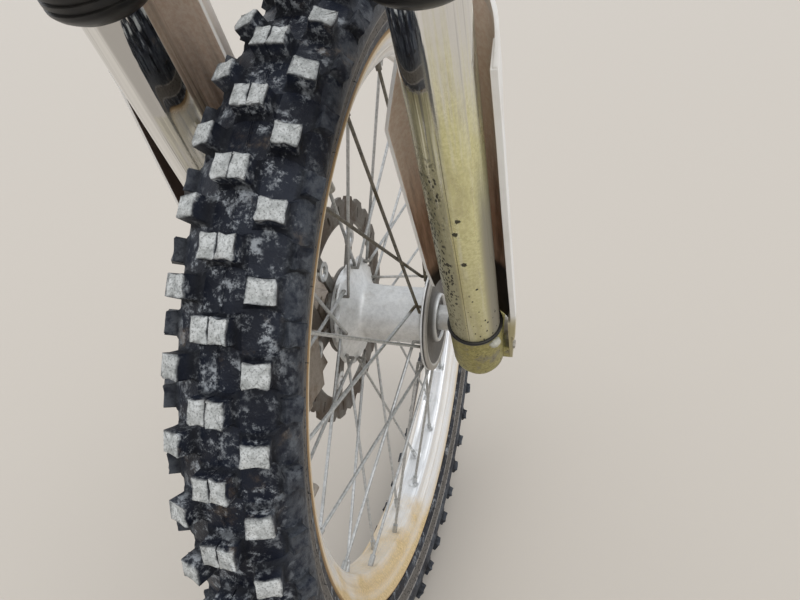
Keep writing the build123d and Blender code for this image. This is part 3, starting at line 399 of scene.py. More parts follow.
def paint_steel(name, dark, light, rust, share, rough):
    """Plated steel gone dull, with a brown film in patches."""
    paint = Paint(name, {})
    patch = paint.noise(30.0, 4.0, 0.6)
    fine = paint.noise(320.0, 4.0, 0.7)
    metal = paint.mixed(fine.step(0.3, 0.7), dark, light)
    film = (patch.step(0.42, 0.66) * share * (0.5 + fine)).held()
    colour = paint.mixed(film, metal, rust)
    paint.finish(
        {
            "Base Color": colour,
            "Metallic": (0.9 - film * 0.7).held(),
            "Roughness": (rough + film * 0.35).held(),
            "Normal": paint.bump(fine, 0.0002, 0.4),
        }
    )
    return paint.material


def paint_chrome(side):
    """Polished tube under a film of dried oil and dust, which ends in a ragged edge high up, with pits and runs;
    painted reflections darken the bare chrome in bands, and darken the film along a line and over its inboard half, and
    painted shade darkens the outboard side low down.
    """
    paint = Paint(f"filmed_chrome_{side}", {})
    foot = LEAN @ Vector((SIDES[side] * TUBE_SPREAD, -AXLE_LEAD, 0))
    height = paint.along(UP_THE_LEG, foot)
    out = paint.along((SIDES[side], 0, 0), foot) / TUBE_RADIUS
    streaks = paint.noise(1.0, 4.0, 0.65, paint.stretched((300.0, 300.0, 5.0), tuple(foot), -RAKE))
    runs = paint.noise(1.0, 5.0, 0.7, paint.stretched((150.0, 150.0, 9.0), tuple(foot), -RAKE))
    fine = paint.noise(420.0, 4.0, 0.7)
    ragged = paint.noise(150.0, 5.0, 0.75)
    patch = paint.noise(30.0, 4.0, 0.6)
    inboard = out.step(-0.04, -0.16)
    start = FILM_TOP[side]
    sharp = (height + (ragged - 0.5) * 0.016).step(start + 0.002, start - 0.003)
    soft = (height + (patch - 0.5) * 0.05 + (streaks - 0.5) * 0.16).step(FILM_SOFT[side] + 0.055, FILM_SOFT[side] - 0.055)
    film = ((inboard * sharp * 0.9 + (1.0 - inboard) * soft * 0.9) * FILM_SHARE[side]).held()
    band = height.step(start - 0.016, start - 0.030) * height.step(0.15, 0.26)
    worn = (runs.step(0.50, 0.62) * inboard * band).held()
    film = (film * (1.0 - worn * 0.85)).held()
    heavy = (height.step(0.25, 0.04) * 0.55 + patch.step(0.55, 0.72) * 0.2 + out.step(0.62, 0.82) * height.step(0.26, 0.16) * 0.8).held()
    dense = out.step(-0.15, -0.35)
    wavy = paint.noise(120.0, 4.0, 0.7)
    upright = paint.stretched((390.0, 390.0, 230.0), tuple(foot), -RAKE)
    pits = (paint.cells(1.0, upright) + (wavy - 0.5) * 0.6).step(0.41, 0.32) * paint.noise(42.0, 3.0, 0.6).step(0.36, 0.46) * dense * (height.step(0.06, 0.13) * 0.7 + 0.3)
    sparse = (paint.cells(0.62, upright) + (wavy - 0.5) * 0.4).step(0.24, 0.18) * paint.noise(23.0, 2.0, 0.5).step(0.44, 0.52)
    specks = ((pits * height.step(0.280, 0.245) + sparse * height.step(0.26, 0.20)) * film.step(0.2, 0.5)).held()
    for level, around, size in TUBE_MARKS[side]:
        mark = foot + UP_THE_LEG * level
        mark += Vector((SIDES[side], 0, 0)) * (TUBE_RADIUS * math.cos(math.radians(around)))
        mark += AHEAD_OF_LEG * (TUBE_RADIUS * math.sin(math.radians(around)))
        apart = paint.node("ShaderNodeVectorMath", {"operation": "DISTANCE"}, {0: paint.place, 1: tuple(mark)}, "Value")
        specks = (specks + (apart + (fine - 0.5) * size * 3.0).step(size * 1.5, size * 1.1)).held()
    # Painted reflection: a thin dark line down the film near the tube's back, the edge of a reflection
    reflection_line = (abs(out + 0.045 + (runs - 0.5) * 0.03).step(0.020, 0.006) * height.step(0.300, 0.270)).held()
    marks = (streaks.step(0.56, 0.72) * 0.4).held()
    # Painted reflection: dark bands running up the bare chrome
    reflection_bands = paint.noise(1.0, 3.0, 0.6, paint.stretched((60.0, 60.0, 1.2), tuple(foot), -RAKE)).step(0.42, 0.60)
    bare = paint.mixed(reflection_bands * REFLECTION_BAND_SHARE[side], (0.86, 0.855, 0.84), (0.42, 0.41, 0.395))
    bare = paint.mixed(marks, bare, (0.36, 0.36, 0.36))
    oil = paint.mixed(fine.step(0.35, 0.65), (0.56, 0.52, 0.19), (0.76, 0.72, 0.34))
    oil = paint.mixed(runs.step(0.50, 0.68) * 0.5, oil, (0.82, 0.80, 0.62))
    dull = paint.noise(1.0, 5.0, 0.7, paint.stretched((60.0, 60.0, 14.0), tuple(foot), -RAKE))
    oil = paint.mixed(dull.step(0.50, 0.66) * 0.45, oil, (0.34, 0.29, 0.10))
    oil = paint.mixed(heavy * (0.6 + fine * 0.4), oil, (0.23, 0.18, 0.05))
    # Painted reflection: the film's inboard half is painted darker, with the tyre and guard reflected in it
    oil = paint.mixed(inboard * 0.72, oil, (0.16, 0.14, 0.046))
    reach = (inboard * height.step(0.215, 0.27)).held()
    oil = paint.mixed(streaks.step(0.50, 0.58) * reach * 0.8, oil, (0.045, 0.040, 0.018))
    oil = paint.mixed(streaks.step(0.44, 0.36) * reach * 0.8, oil, (0.86, 0.83, 0.60))
    # Painted shade: the outboard side low down is painted dark and made less shiny, where the guard shades it
    outboard_shade = (out.step(0.66, 0.90) * (height + (runs - 0.5) * 0.08).step(0.29, 0.19)).held()
    oil = paint.mixed(outboard_shade * 0.85, oil, (0.085, 0.065, 0.026))
    bare_patch = (dull.step(0.56, 0.62) * out.step(0.55, 0.66) * out.step(0.94, 0.86) * height.step(0.25, 0.20) * height.step(0.05, 0.08)).held()
    oil = paint.mixed(bare_patch * 0.5, oil, (0.40, 0.35, 0.29))
    colour = paint.mixed(film * 0.92, bare, oil)
    colour = paint.mixed(reflection_line * 0.7, colour, (0.07, 0.06, 0.035))
    colour = paint.mixed(specks * 0.95, colour, (0.020, 0.017, 0.010))
    paint.finish(
        {
            "Base Color": colour,
            "Metallic": (1.0 - film * 0.42 - heavy * film * 0.45 - outboard_shade * film * 0.3 - specks * 0.5).held(),
            "Roughness": (0.05 + film * 0.22 + heavy * film * 0.3 + outboard_shade * film * 0.25 + marks * 0.1 + specks * 0.5).held(),
            "Normal": paint.bump(fine * film * 0.5 + ragged * film * 0.3 - specks, 0.0003, 0.35),
        }
    )
    return paint.material


def paint_guard(side):
    """White moulded plastic, and on the side that faces the tube dusty beige, rusty lower down and oily at the foot;
    there painted shade darkens it beyond the tube and near black low down, and on the left guard its rusty part too.
    """
    paint = Paint(f"dusty_guard_{side}", {"Specular IOR Level": 0.4})
    foot = LEAN @ Vector((SIDES[side] * TUBE_SPREAD, -AXLE_LEAD, 0))
    height = paint.along(UP_THE_LEG, foot)
    ahead = paint.along(AHEAD_OF_LEG, foot)
    across = paint.along((SIDES[side], 0, 0), foot)
    edge = height.step(0.312, 0.354) * 0.036 + height.step(0.352, 0.390) * 0.008
    lip = across.step(0.018, 0.022) * (ahead - edge).step(0.0060, 0.0045) * LIP_SHARE[side]
    inside = paint.own("inside") * (1.0 - lip)
    patch = paint.noise(24.0, 4.0, 0.6)
    runs = paint.noise(1.0, 5.0, 0.65, paint.stretched((95.0, 95.0, 11.0), tuple(foot), -RAKE))
    fine = paint.noise(300.0, 5.0, 0.7)
    white = paint.mixed(patch.step(0.4, 0.7) * 0.35, (0.82, 0.81, 0.79), (0.62, 0.57, 0.50))
    white = paint.mixed(fine.step(0.62, 0.76) * 0.3, white, (0.42, 0.37, 0.31))
    low_foot = height.step(0.078, 0.045)
    white = paint.mixed(low_foot * patch.step(0.3, 0.5) * 0.85, white, (0.36, 0.30, 0.12))
    beige = paint.mixed(fine.step(0.35, 0.65), (0.84, 0.67, 0.54), (0.95, 0.82, 0.70))
    # Rust lower down on the inside, and on the left guard painted shade as well
    rust_and_shade = paint.mixed(runs.step(0.35, 0.65), *RUST_AND_SHADE_COLOURS[side])
    wheel_face = paint.outwards((-SIDES[side], 0, 0)).step(0.25, 0.75)
    white = paint.mixed(wheel_face * (0.75 + (fine - 0.5) * 0.5), white, (0.56, 0.46, 0.37))
    low = ((height + (runs - 0.5) * 0.12).step(GUARD_RUST_AND_SHADE[side] + 0.05, GUARD_RUST_AND_SHADE[side] - 0.05) * 0.9).held()
    soiled = paint.mixed(low, beige, rust_and_shade)
    shaded = across.step(0.020, 0.030) * height.step(0.375, 0.335) * OUTER_SHADE[side]
    soiled = paint.mixed(shaded, soiled, (0.040, 0.023, 0.016))
    # Painted shade: the inside goes near black low down, in the shade between the tube and the guard
    foot_shade = (height + (patch - 0.5) * 0.03).step(0.112, 0.096)
    soiled = paint.mixed(foot_shade * 0.95, soiled, (0.008, 0.006, 0.005))
    colour = paint.mixed((inside * 1.3 - 0.15 + (fine - 0.5) * 0.2).held(), white, soiled)
    paint.finish(
        {
            "Base Color": colour,
            "Roughness": (0.42 + inside * 0.30 + patch * 0.1).held(),
            "Normal": paint.bump(fine + runs * inside, 0.0004, 0.4),
        }
    )
    return paint.material


def paint_rubber(name, colour, dust, share, rough):
    """Black rubber or plastic with dust settled on it."""
    paint = Paint(name, {"Specular IOR Level": 0.4})
    patch = paint.noise(40.0, 4.0, 0.6)
    fine = paint.noise(420.0, 4.0, 0.7)
    above = paint.outwards((0, 0, 1)).step(-0.1, 0.9)
    film = ((patch.step(0.4, 0.7) * 0.6 + above * 0.7) * share * (0.4 + fine)).held()
    paint.finish(
        {
            "Base Color": paint.mixed(film, colour, dust),
            "Roughness": (rough + film * 0.3).held(),
            "Normal": paint.bump(fine, 0.0002, 0.4),
        }
    )
    return paint.material


def paint_lug(side):
    """Cast fork lug under oily ochre dirt, black where the dirt has caked and specked all over."""
    paint = Paint(f"oily_lug_{side}", {})
    foot = LEAN @ Vector((SIDES[side] * TUBE_SPREAD, -AXLE_LEAD, 0))
    height = paint.along(UP_THE_LEG, foot)
    patch = paint.noise(55.0, 5.0, 0.65)
    fine = paint.noise(330.0, 5.0, 0.7)
    metal = paint.mixed(fine.step(0.3, 0.7), (0.33, 0.32, 0.29), (0.50, 0.49, 0.45))
    dirt = (height.step(-0.03, 0.006) * 0.5 + patch.step(0.34, 0.56) * 0.8).held()
    ochre = paint.mixed(fine.step(0.35, 0.65), (0.22, 0.19, 0.06), (0.37, 0.33, 0.125))
    caked = (patch.step(0.50, 0.36) * 0.75 + height.step(-0.008, -0.022) * 0.6).held()
    specks = (paint.cells(260.0).step(0.26, 0.13) * paint.noise(60.0, 3.0, 0.6).step(0.5, 0.6)).held()
    colour = paint.mixed(dirt, metal, ochre)
    colour = paint.mixed(caked * fine.step(0.35, 0.6), colour, (0.085, 0.06, 0.025))
    colour = paint.mixed(specks * 0.9, colour, (0.015, 0.012, 0.008))
    paint.finish(
        {
            "Base Color": colour,
            "Metallic": (0.8 - dirt * 0.55).held(),
            "Roughness": (0.28 + dirt * 0.22 + caked * 0.2).held(),
            "Normal": paint.bump(fine * 0.5 + patch - specks * 0.5, 0.0007, 0.5),
        }
    )
    return paint.material


def paint_hub():
    """Cast aluminium, dull, with brownish dirt on the right flange's outer ridge, and painted shade in its dish and in
    the groove between its ridges.
    """
    paint = Paint("cast_hub", {})
    radius, angle, x = paint.wheel_polar()
    patch = paint.noise(34.0, 5.0, 0.65)
    pits = paint.noise(700.0, 2.0, 0.6)
    fine = paint.noise(210.0, 5.0, 0.7)
    metal = paint.mixed(fine.step(0.3, 0.7), (0.64, 0.645, 0.64), (0.80, 0.805, 0.80))
    ridge = (x.step(0.0434, 0.0440) * radius.step(0.0480, 0.0510)).held()
    # Painted shade: the right flange's dish and the groove between its ridges are painted dark
    dish_shade = (x.step(0.0412, 0.0422) * radius.step(0.0492, 0.0470) * radius.step(0.0246, 0.0256)).held()
    groove_shade = abs(x - 0.0436).step(0.0009, 0.0003) * radius.step(0.050, 0.052)
    soil = (patch.step(0.5, 0.7) * 0.35 + fine.step(0.55, 0.8) * 0.15).held()
    colour = paint.mixed(soil, metal, (0.36, 0.33, 0.28))
    colour = paint.mixed(ridge * 0.75, colour, (0.30, 0.265, 0.22))
    colour = paint.mixed(dish_shade * (0.80 + fine * 0.2), colour, (0.075, 0.064, 0.052))
    colour = paint.mixed(groove_shade * 0.8, colour, (0.10, 0.09, 0.08))
    dirt_and_shade = (soil + ridge * 0.5 + dish_shade * 0.7).held()
    paint.finish(
        {
            "Base Color": colour,
            "Metallic": (0.6 - dirt_and_shade * 0.5).held(),
            "Roughness": (0.44 + dirt_and_shade * 0.25 + (fine - 0.5) * 0.15).held(),
            "Normal": paint.bump(pits * 0.6 + fine * 0.6, 0.0005, 0.5),
        }
    )
    return paint.material


def paint_spokes():
    """Plated wire gone dull: olive brown with dirt on the side of the wheel that faces up and back."""
    paint = Paint("dull_spokes", {})
    radius, angle, x = paint.wheel_polar()
    fine = paint.noise(320.0, 4.0, 0.7)
    patch = paint.noise(26.0, 3.0, 0.6)
    raised = angle.step(2.62, 2.50) * angle.step(0.5, 0.9) * x.step(-0.004, 0.002)
    near_hub = radius.step(0.068, 0.054)
    metal = paint.mixed(fine.step(0.3, 0.7), (0.36, 0.365, 0.36), (0.55, 0.555, 0.55))
    dirt = (raised * 0.85 + patch.step(0.55, 0.75) * 0.3 + near_hub * 0.6).held()
    brown = paint.mixed(fine.step(0.35, 0.65), (0.055, 0.045, 0.028), (0.13, 0.105, 0.065))
    paint.finish(
        {
            "Base Color": paint.mixed(dirt, metal, brown),
            "Metallic": (0.8 - dirt * 0.5).held(),
            "Roughness": (0.40 + dirt * 0.2).held(),
            "Normal": paint.bump(fine, 0.0002, 0.4),
        }
    )
    return paint.material


def paint_disc():
    """Worn steel with a brown film, heavier and ringed where the pads run, and bright round the eyes in its arms."""
    paint = Paint("worn_disc", {})
    radius, angle, x = paint.wheel_polar()
    fine = paint.noise(320.0, 4.0, 0.7)
    patch = paint.noise(30.0, 4.0, 0.6)
    rings = paint.noise(1.0, 2.0, 0.5, paint.node("ShaderNodeCombineXYZ", {}, {"X": radius * 1400.0}))
    turn = (angle - RAKE) * (6.0 / math.tau) - DISC_ARM_PHASE / 60.0
    apart = (turn.math("FRACT", turn + 0.5) - 0.5) * (0.077 * math.tau / 6.0)
    reach = radius - 0.077
    away = apart.math("SQRT", apart * apart + reach * reach)
    eye = away.step(0.0112, 0.0095)
    track = radius.step(0.0945, 0.0965)
    metal = paint.mixed(fine.step(0.3, 0.7), (0.14, 0.13, 0.115), (0.24, 0.23, 0.21))
    metal = paint.mixed(eye * 0.8, metal, (0.72, 0.73, 0.73))
    film = ((patch.step(0.38, 0.62) * 0.7 + track * 0.35) * (0.5 + fine) * (1.0 - eye)).held()
    paint.finish(
        {
            "Base Color": paint.mixed(film, metal, (0.085, 0.062, 0.045)),
            "Metallic": (0.85 - film * 0.6).held(),
            "Roughness": (0.34 + film * 0.35 + rings * track * 0.1).held(),
            "Normal": paint.bump(fine * 0.4 + rings * track, 0.0002, 0.4),
        }
    )
    return paint.material


# Modelling


def clear_selection():
    if bpy.context.object and bpy.context.object.mode != "OBJECT":
        bpy.ops.object.mode_set(mode="OBJECT")
    bpy.ops.object.select_all(action="DESELECT")


def pick(piece):
    clear_selection()
    piece.select_set(True)
    bpy.context.view_layer.objects.active = piece


def edit(piece):
    pick(piece)
    bpy.ops.object.mode_set(mode="EDIT")


def done():
    bpy.ops.object.mode_set(mode="OBJECT")
    return bpy.context.object


def select_points(piece, test):
    """In edit mode, selects the points whose place passes a test."""
    bpy.ops.mesh.select_all(action="DESELECT")
    bpy.ops.object.mode_set(mode="OBJECT")
    for point in piece.data.vertices:
        point.select = bool(test(point.co))
    bpy.ops.object.mode_set(mode="EDIT")
    bpy.ops.mesh.select_mode(type="VERT")


def select_faces(piece, test):
    """In edit mode, selects the faces whose middle and normal pass a test."""
    bpy.ops.mesh.select_mode(type="FACE")
    bpy.ops.mesh.select_all(action="DESELECT")
    bpy.ops.object.mode_set(mode="OBJECT")
    for face in piece.data.polygons:
        face.select = bool(test(face.center, face.normal))
    bpy.ops.object.mode_set(mode="EDIT")


def finish_mesh(smooth=35.0):
    """Merges doubles, turns the faces outwards and smooths all but the sharp edges."""
    bpy.ops.mesh.select_all(action="SELECT")
    bpy.ops.mesh.remove_doubles(threshold=0.00001)
    bpy.ops.mesh.normals_make_consistent(inside=False)
    piece = done()
    pick(piece)
    bpy.ops.object.shade_smooth_by_angle(angle=math.radians(smooth))
    return piece


def apply_modifier(piece, kind, **settings):
    pick(piece)
    modifier = piece.modifiers.new(kind.lower(), kind)
    for key, value in settings.items():
        setattr(modifier, key, value)
    bpy.ops.object.modifier_apply(modifier=modifier.name)


def settle(piece, matrix):
    """Moves a piece's mesh by a matrix, and leaves the object at the origin."""
    pick(piece)
    piece.matrix_world = matrix @ piece.matrix_world
    bpy.ops.object.transform_apply(location=True, rotation=True, scale=True)
    return piece


def joined(name, pieces):
    clear_selection()
    for piece in pieces:
        piece.select_set(True)
    bpy.context.view_layer.objects.active = pieces[0]
    if len(pieces) > 1:
        bpy.ops.object.join()
    pieces[0].name = name
    return pieces[0]


def twin(piece, matrix):
    """A copy of a piece, with its own mesh, moved by a matrix."""
    copy = piece.copy()
    copy.data = piece.data.copy()
    bpy.context.scene.collection.objects.link(copy)
    copy.data.transform(matrix)
    if matrix.determinant() < 0:
        copy.data.flip_normals()
    return copy


def drop(piece):
    bpy.data.objects.remove(piece)


def spun(name, corners, axis="X", steps=64, smooth=35.0):
    """A ring or a round piece, spun from its section's corners: each a place along the axis and a radius."""
    clear_selection()
    bpy.ops.mesh.primitive_plane_add(size=0.001)
    piece = bpy.context.object
    piece.name = name
    start = place_on(axis, corners[0])
    edit(piece)
    bpy.ops.mesh.merge(type="CENTER")
    bpy.ops.transform.translate(value=start)
    last = start
    for corner in corners[1:] + corners[:1]:
        point = place_on(axis, corner)
        bpy.ops.mesh.extrude_region_move(TRANSFORM_OT_translate={"value": point - last})
        last = point
    bpy.ops.mesh.select_all(action="SELECT")
    turn = (1, 0, 0) if axis == "X" else (0, 0, 1)
    bpy.ops.mesh.spin(steps=steps, angle=math.tau, center=(0, 0, 0), axis=turn)
    return finish_mesh(smooth)


def place_on(axis, corner):
    along, radius = corner
    return Vector((along, 0, radius)) if axis == "X" else Vector((radius, 0, along))


def softened(node, width, segments=2, name=None):
    """A CAD node's own form with its hard edges rounded off, in the node's place."""
    source = nodes[node]
    piece = source.copy()
    piece.data = source.data.copy()
    piece.parent = None
    piece.matrix_world = Matrix.Identity(4)
    piece.name = name or f"{node}_form"
    bpy.context.scene.collection.objects.link(piece)
    edit(piece)
    bpy.ops.mesh.select_all(action="SELECT")
    bpy.ops.mesh.remove_doubles(threshold=0.00001)
    bpy.ops.mesh.dissolve_limited(angle_limit=math.radians(1.5))
    done()
    apply_modifier(
        piece, "BEVEL", width=width, segments=segments, limit_method="ANGLE", angle_limit=math.radians(32.0),
        use_clamp_overlap=True, harden_normals=False,
    )
    pick(piece)
    bpy.ops.object.shade_smooth_by_angle(angle=math.radians(40.0))
    return piece


def dress(piece, material):
    piece.data.materials.clear()
    piece.data.materials.append(material)
    return piece


def place_piece(piece, body, material, replaced=()):
    dress(piece, material)
    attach(piece, body)
    if replaced:
        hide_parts(*replaced)
    return piece


# Tyre

# The carcass from its crown down to the rim: place across and radius
CARCASS = [
    (0.0, 0.3335), (0.0006, 0.3341), (0.0012, 0.3334), (0.006, 0.3332), (0.0115, 0.3325), (0.017, 0.3308),
    (0.0225, 0.3286), (0.0275, 0.3262), (0.0315, 0.3231), (0.0345, 0.3193), (0.0365, 0.3152), (0.0373, 0.3112),
    (0.0370, 0.3072), (0.0358, 0.3035), (0.0347, 0.3014), (0.0345, 0.3008), (0.0337, 0.3003), (0.0330, 0.2985),
    (0.0322, 0.2957), (0.0314, 0.2930), (0.0308, 0.2911), (0.0311, 0.2906), (0.0308, 0.2899), (0.0297, 0.2880),
    (0.0285, 0.2845), (0.0273, 0.2812), (0.0226, 0.2808), (0.0206, 0.2740), (0.0180, 0.2690),
]
LINING = [(0.0120, 0.2700), (0.0140, 0.2780), (0.0290, 0.3040), (0.0240, 0.3170), (0.0100, 0.3265)]
LINING_TOP = (0.0, 0.3275)
# The knobs: width across, length round the tyre, height, place across, tilt, shift in pitches, side, and wear
KNOBS = [
    (0.0107, 0.0146, 0.0118, 0.0052, 0.0, 0.0, -1, 1.0),
    (0.0107, 0.0146, 0.0118, 0.0052, 0.0, 0.0, 1, 1.0),
    (0.0158, 0.0138, 0.0120, 0.0213, 20.0, 0.5, 1, 1.0),
    (0.0140, 0.0138, 0.0118, 0.0203, 20.0, 0.5, -1, 0.92),
    (0.0108, 0.0138, 0.0058, 0.0344, 59.0, 0.0, 1, 0.22),
    (0.0108, 0.0138, 0.0068, 0.0348, 59.0, 0.0, -1, 0.22),
]
VARIANTS = 3


def knob_block(name, width, length, height, wear):
    """One knob about Z, its foot at the origin: its sides hollowed and splayed, its top worn round the edges."""
    clear_selection()
    root = 0.0022
    bpy.ops.mesh.primitive_cube_add(size=1.0, location=(0, 0, (height - root) / 2))
    knob = bpy.context.object
    knob.name = name
    knob.scale = (width, length, height + root)
    bpy.ops.object.transform_apply(location=True, scale=True)
    edit(knob)
    bpy.ops.mesh.select_all(action="SELECT")
    bpy.ops.mesh.subdivide(number_cuts=1)
    select_points(knob, lambda p: abs(p.x) < width * 0.1 and abs(p.y) > length * 0.4)
    bpy.ops.transform.resize(value=(1, 0.89, 1), center_override=(0, 0, 0))
    select_points(knob, lambda p: abs(p.y) < length * 0.1 and abs(p.x) > width * 0.4)
    bpy.ops.transform.resize(value=(0.94, 1, 1), center_override=(0, 0, 0))
    select_points(knob, lambda p: p.z < 0)
    bpy.ops.transform.resize(value=(1.5, 1.55, 1), center_override=(0, 0, 0))
    select_points(knob, lambda p: 0 < p.z < height * 0.7)
    bpy.ops.transform.resize(value=(1.03, 1.04, 1), center_override=(0, 0, 0))
    bpy.ops.transform.translate(value=(0, 0, -height * 0.22))
    select_points(knob, lambda p: abs(p.x) > width * 0.44 and abs(p.y) > length * 0.44 and p.z > 0)
    bpy.ops.mesh.bevel(offset=min(width, length) * 0.08, segments=1, affect="EDGES")
    select_faces(knob, lambda c, n: n.z > 0.9 and c.z > height * 0.9)
    bpy.ops.mesh.inset(thickness=min(width, length) * 0.085, depth=height * 0.05)
    knob = finish_mesh(50.0)
    # The worn attribute: wear on the top, and -0.7 on the sides, which the tyre's paint turns into painted shade
    worn = knob.data.attributes.new("worn", "FLOAT", "POINT")
    for point in knob.data.vertices:
        if point.co.z > height * 1.01:
            worn.data[point.index].value = wear
        elif point.co.z > height * 0.9:
            worn.data[point.index].value = wear * 0.5
        else:
            worn.data[point.index].value = -0.7 if point.co.z > 0 else 0.0
    return knob


def tyre():
    """The knobbly tyre: a round carcass with a mould line, and fifty pitches of worn knobs."""
    lining = [LINING_TOP] + [(-x, r) for x, r in reversed(LINING)]
    corners = lining + [(-x, r) for x, r in reversed(CARCASS[1:])] + CARCASS + LINING
    carcass = spun("tyre_carcass", corners, steps=300)
    carcass.data.attributes.new("worn", "FLOAT", "POINT")
    copies = []
    for kind, (width, length, height, across, tilt, shift, side, wear) in enumerate(KNOBS):
        seat = Matrix.Translation((side * across, 0, carcass_radius(across)))
        seat = seat @ Matrix.Rotation(math.radians(side * tilt), 4, "Y")
        for variant in range(VARIANTS):
            knob = knob_block(f"knob_{kind}_{variant}", width, length, height, wear)
            edit(knob)
            select_points(knob, lambda p: p.z > height * 0.2)
            bpy.ops.transform.vertex_random(offset=0.0007, uniform=1.0, normal=0.0, seed=VARIANTS * kind + variant + 1)
            done()
            for pitch in range(variant, PITCHES, VARIANTS):
                turn = Matrix.Rotation(math.radians(KNOB_TURN + (pitch + shift) * 360.0 / PITCHES), 4, "X")
                copies.append(twin(knob, turn @ seat))
            drop(knob)
    piece = joined("tyre_form", [carcass] + copies)
    settle(piece, LEAN)
    return place_piece(piece, "wheel", paint_tyre(), ("tyre",))


def carcass_radius(across):
    for (x0, r0), (x1, r1) in zip(CARCASS, CARCASS[1:]):
        if x0 <= across <= x1:
            return r0 + (r1 - r0) * (across - x0) / (x1 - x0)
    return CARCASS[-1][1]


def vent_hairs():
    """The short moulding hairs left standing along the bead."""
    clear_selection()
    bpy.ops.mesh.primitive_cone_add(vertices=5, radius1=0.00045, radius2=0.0002, depth=0.006, location=(0, 0, 0.003))
    hair = bpy.context.object
    edit(hair)
    bpy.ops.mesh.select_all(action="SELECT")
    bpy.ops.mesh.subdivide(number_cuts=1)
    select_points(hair, lambda p: p.z > 0.005)
    bpy.ops.transform.translate(value=(0, 0.0012, 0))
    hair = finish_mesh(60.0)
    copies = []
    for index in range(26):
        angle = 14.0 + index * 360.0 / 26 + 3.0 * math.sin(index * 2.1)
        for side in SIDES.values():
            seat = Matrix.Translation((side * 0.0308, 0, 0.2915 + 0.001 * math.sin(index * 1.7)))
            lie = Matrix.Rotation(math.radians(side * (95.0 + 18.0 * math.sin(index * 1.3))), 4, "Y")
            turn = Matrix.Rotation(math.radians(angle), 4, "X")
            copies.append(twin(hair, turn @ seat @ lie))
    drop(hair)
    piece = joined("tyre_vent_hairs", copies)
    settle(piece, LEAN)
    return place_piece(piece, "wheel", paint_rubber("hair_rubber", (0.02, 0.02, 0.022), (0.1, 0.1, 0.1), 0.2, 0.6))


# Fork


def on_leg(side):
    """Carries a piece drawn about Z, at the axle's height, to a leg."""
    return LEAN @ Matrix.Translation((SIDES[side] * TUBE_SPREAD, -AXLE_LEAD, 0))


def seated(place, outwards):
    """Carries a piece drawn about Z, its foot at the origin, to a place in millimetres, facing a direction."""
    turn = Vector(outwards).to_track_quat("Z", "Y").to_matrix().to_4x4()
    return LEAN @ Matrix.Translation(Vector(place) / 1000) @ turn


# A wiper's section from its bore: height and radius
WIPER = [
    (0.3672, 0.0226), (0.3654, 0.0234), (0.3646, 0.0243), (0.3655, 0.0257), (0.3676, 0.0286), (0.3698, 0.0312),
    (0.3722, 0.0331), (0.3742, 0.0343), (0.3762, 0.0345), (0.3768, 0.0326), (0.3784, 0.0326), (0.3790, 0.0345),
    (0.3816, 0.0345), (0.3822, 0.0325), (0.3838, 0.0325), (0.3844, 0.0345), (0.3905, 0.0345), (0.3918, 0.0339),
    (0.3919, 0.0316), (0.3919, 0.0226),
]
# How far the right guard's free outer edge stands out from the leg's axis: height and reach
GUARD_LIP = [
    (0.030, 0.0349), (0.062, 0.0368), (0.085, 0.0365), (0.111, 0.0360), (0.200, 0.0348), (0.261, 0.0343),
    (0.314, 0.0335),
]
SEAL_RING = [
    (0.0493, 0.0224), (0.0493, 0.0241), (0.0500, 0.0250), (0.0514, 0.0253), (0.0526, 0.0246), (0.0530, 0.0234),
    (0.0528, 0.0224),
]


# The rim's right half, from the flange's top down the outside to the middle and back on the tyre's side
RIM_HALF = [
    (0.0249, 0.2805), (0.0262, 0.2804), (0.0270, 0.2797), (0.0272, 0.2786), (0.0270, 0.2768), (0.0263, 0.2748),
    (0.0252, 0.2728), (0.0238, 0.2706), (0.0226, 0.2686), (0.0213, 0.2666), (0.0202, 0.2651), (0.0198, 0.2645),
    (0.0196, 0.2632), (0.0186, 0.2622), (0.0172, 0.2612), (0.0158, 0.2597), (0.0146, 0.2575), (0.0134, 0.2548),
    (0.0124, 0.2529), (0.0112, 0.2522), (0.0098, 0.2523), (0.0088, 0.2530), (0.0078, 0.2533), (0.0040, 0.2532),
    (0.0, 0.2532),
]
RIM_INSIDE = [(0.0, 0.2560), (0.0102, 0.2562), (0.0112, 0.2575), (0.0135, 0.2635), (0.0175, 0.2660), (0.0193, 0.2676),
    (0.0209, 0.2702), (0.0228, 0.2738), (0.0236, 0.2775), (0.0242, 0.2796)]
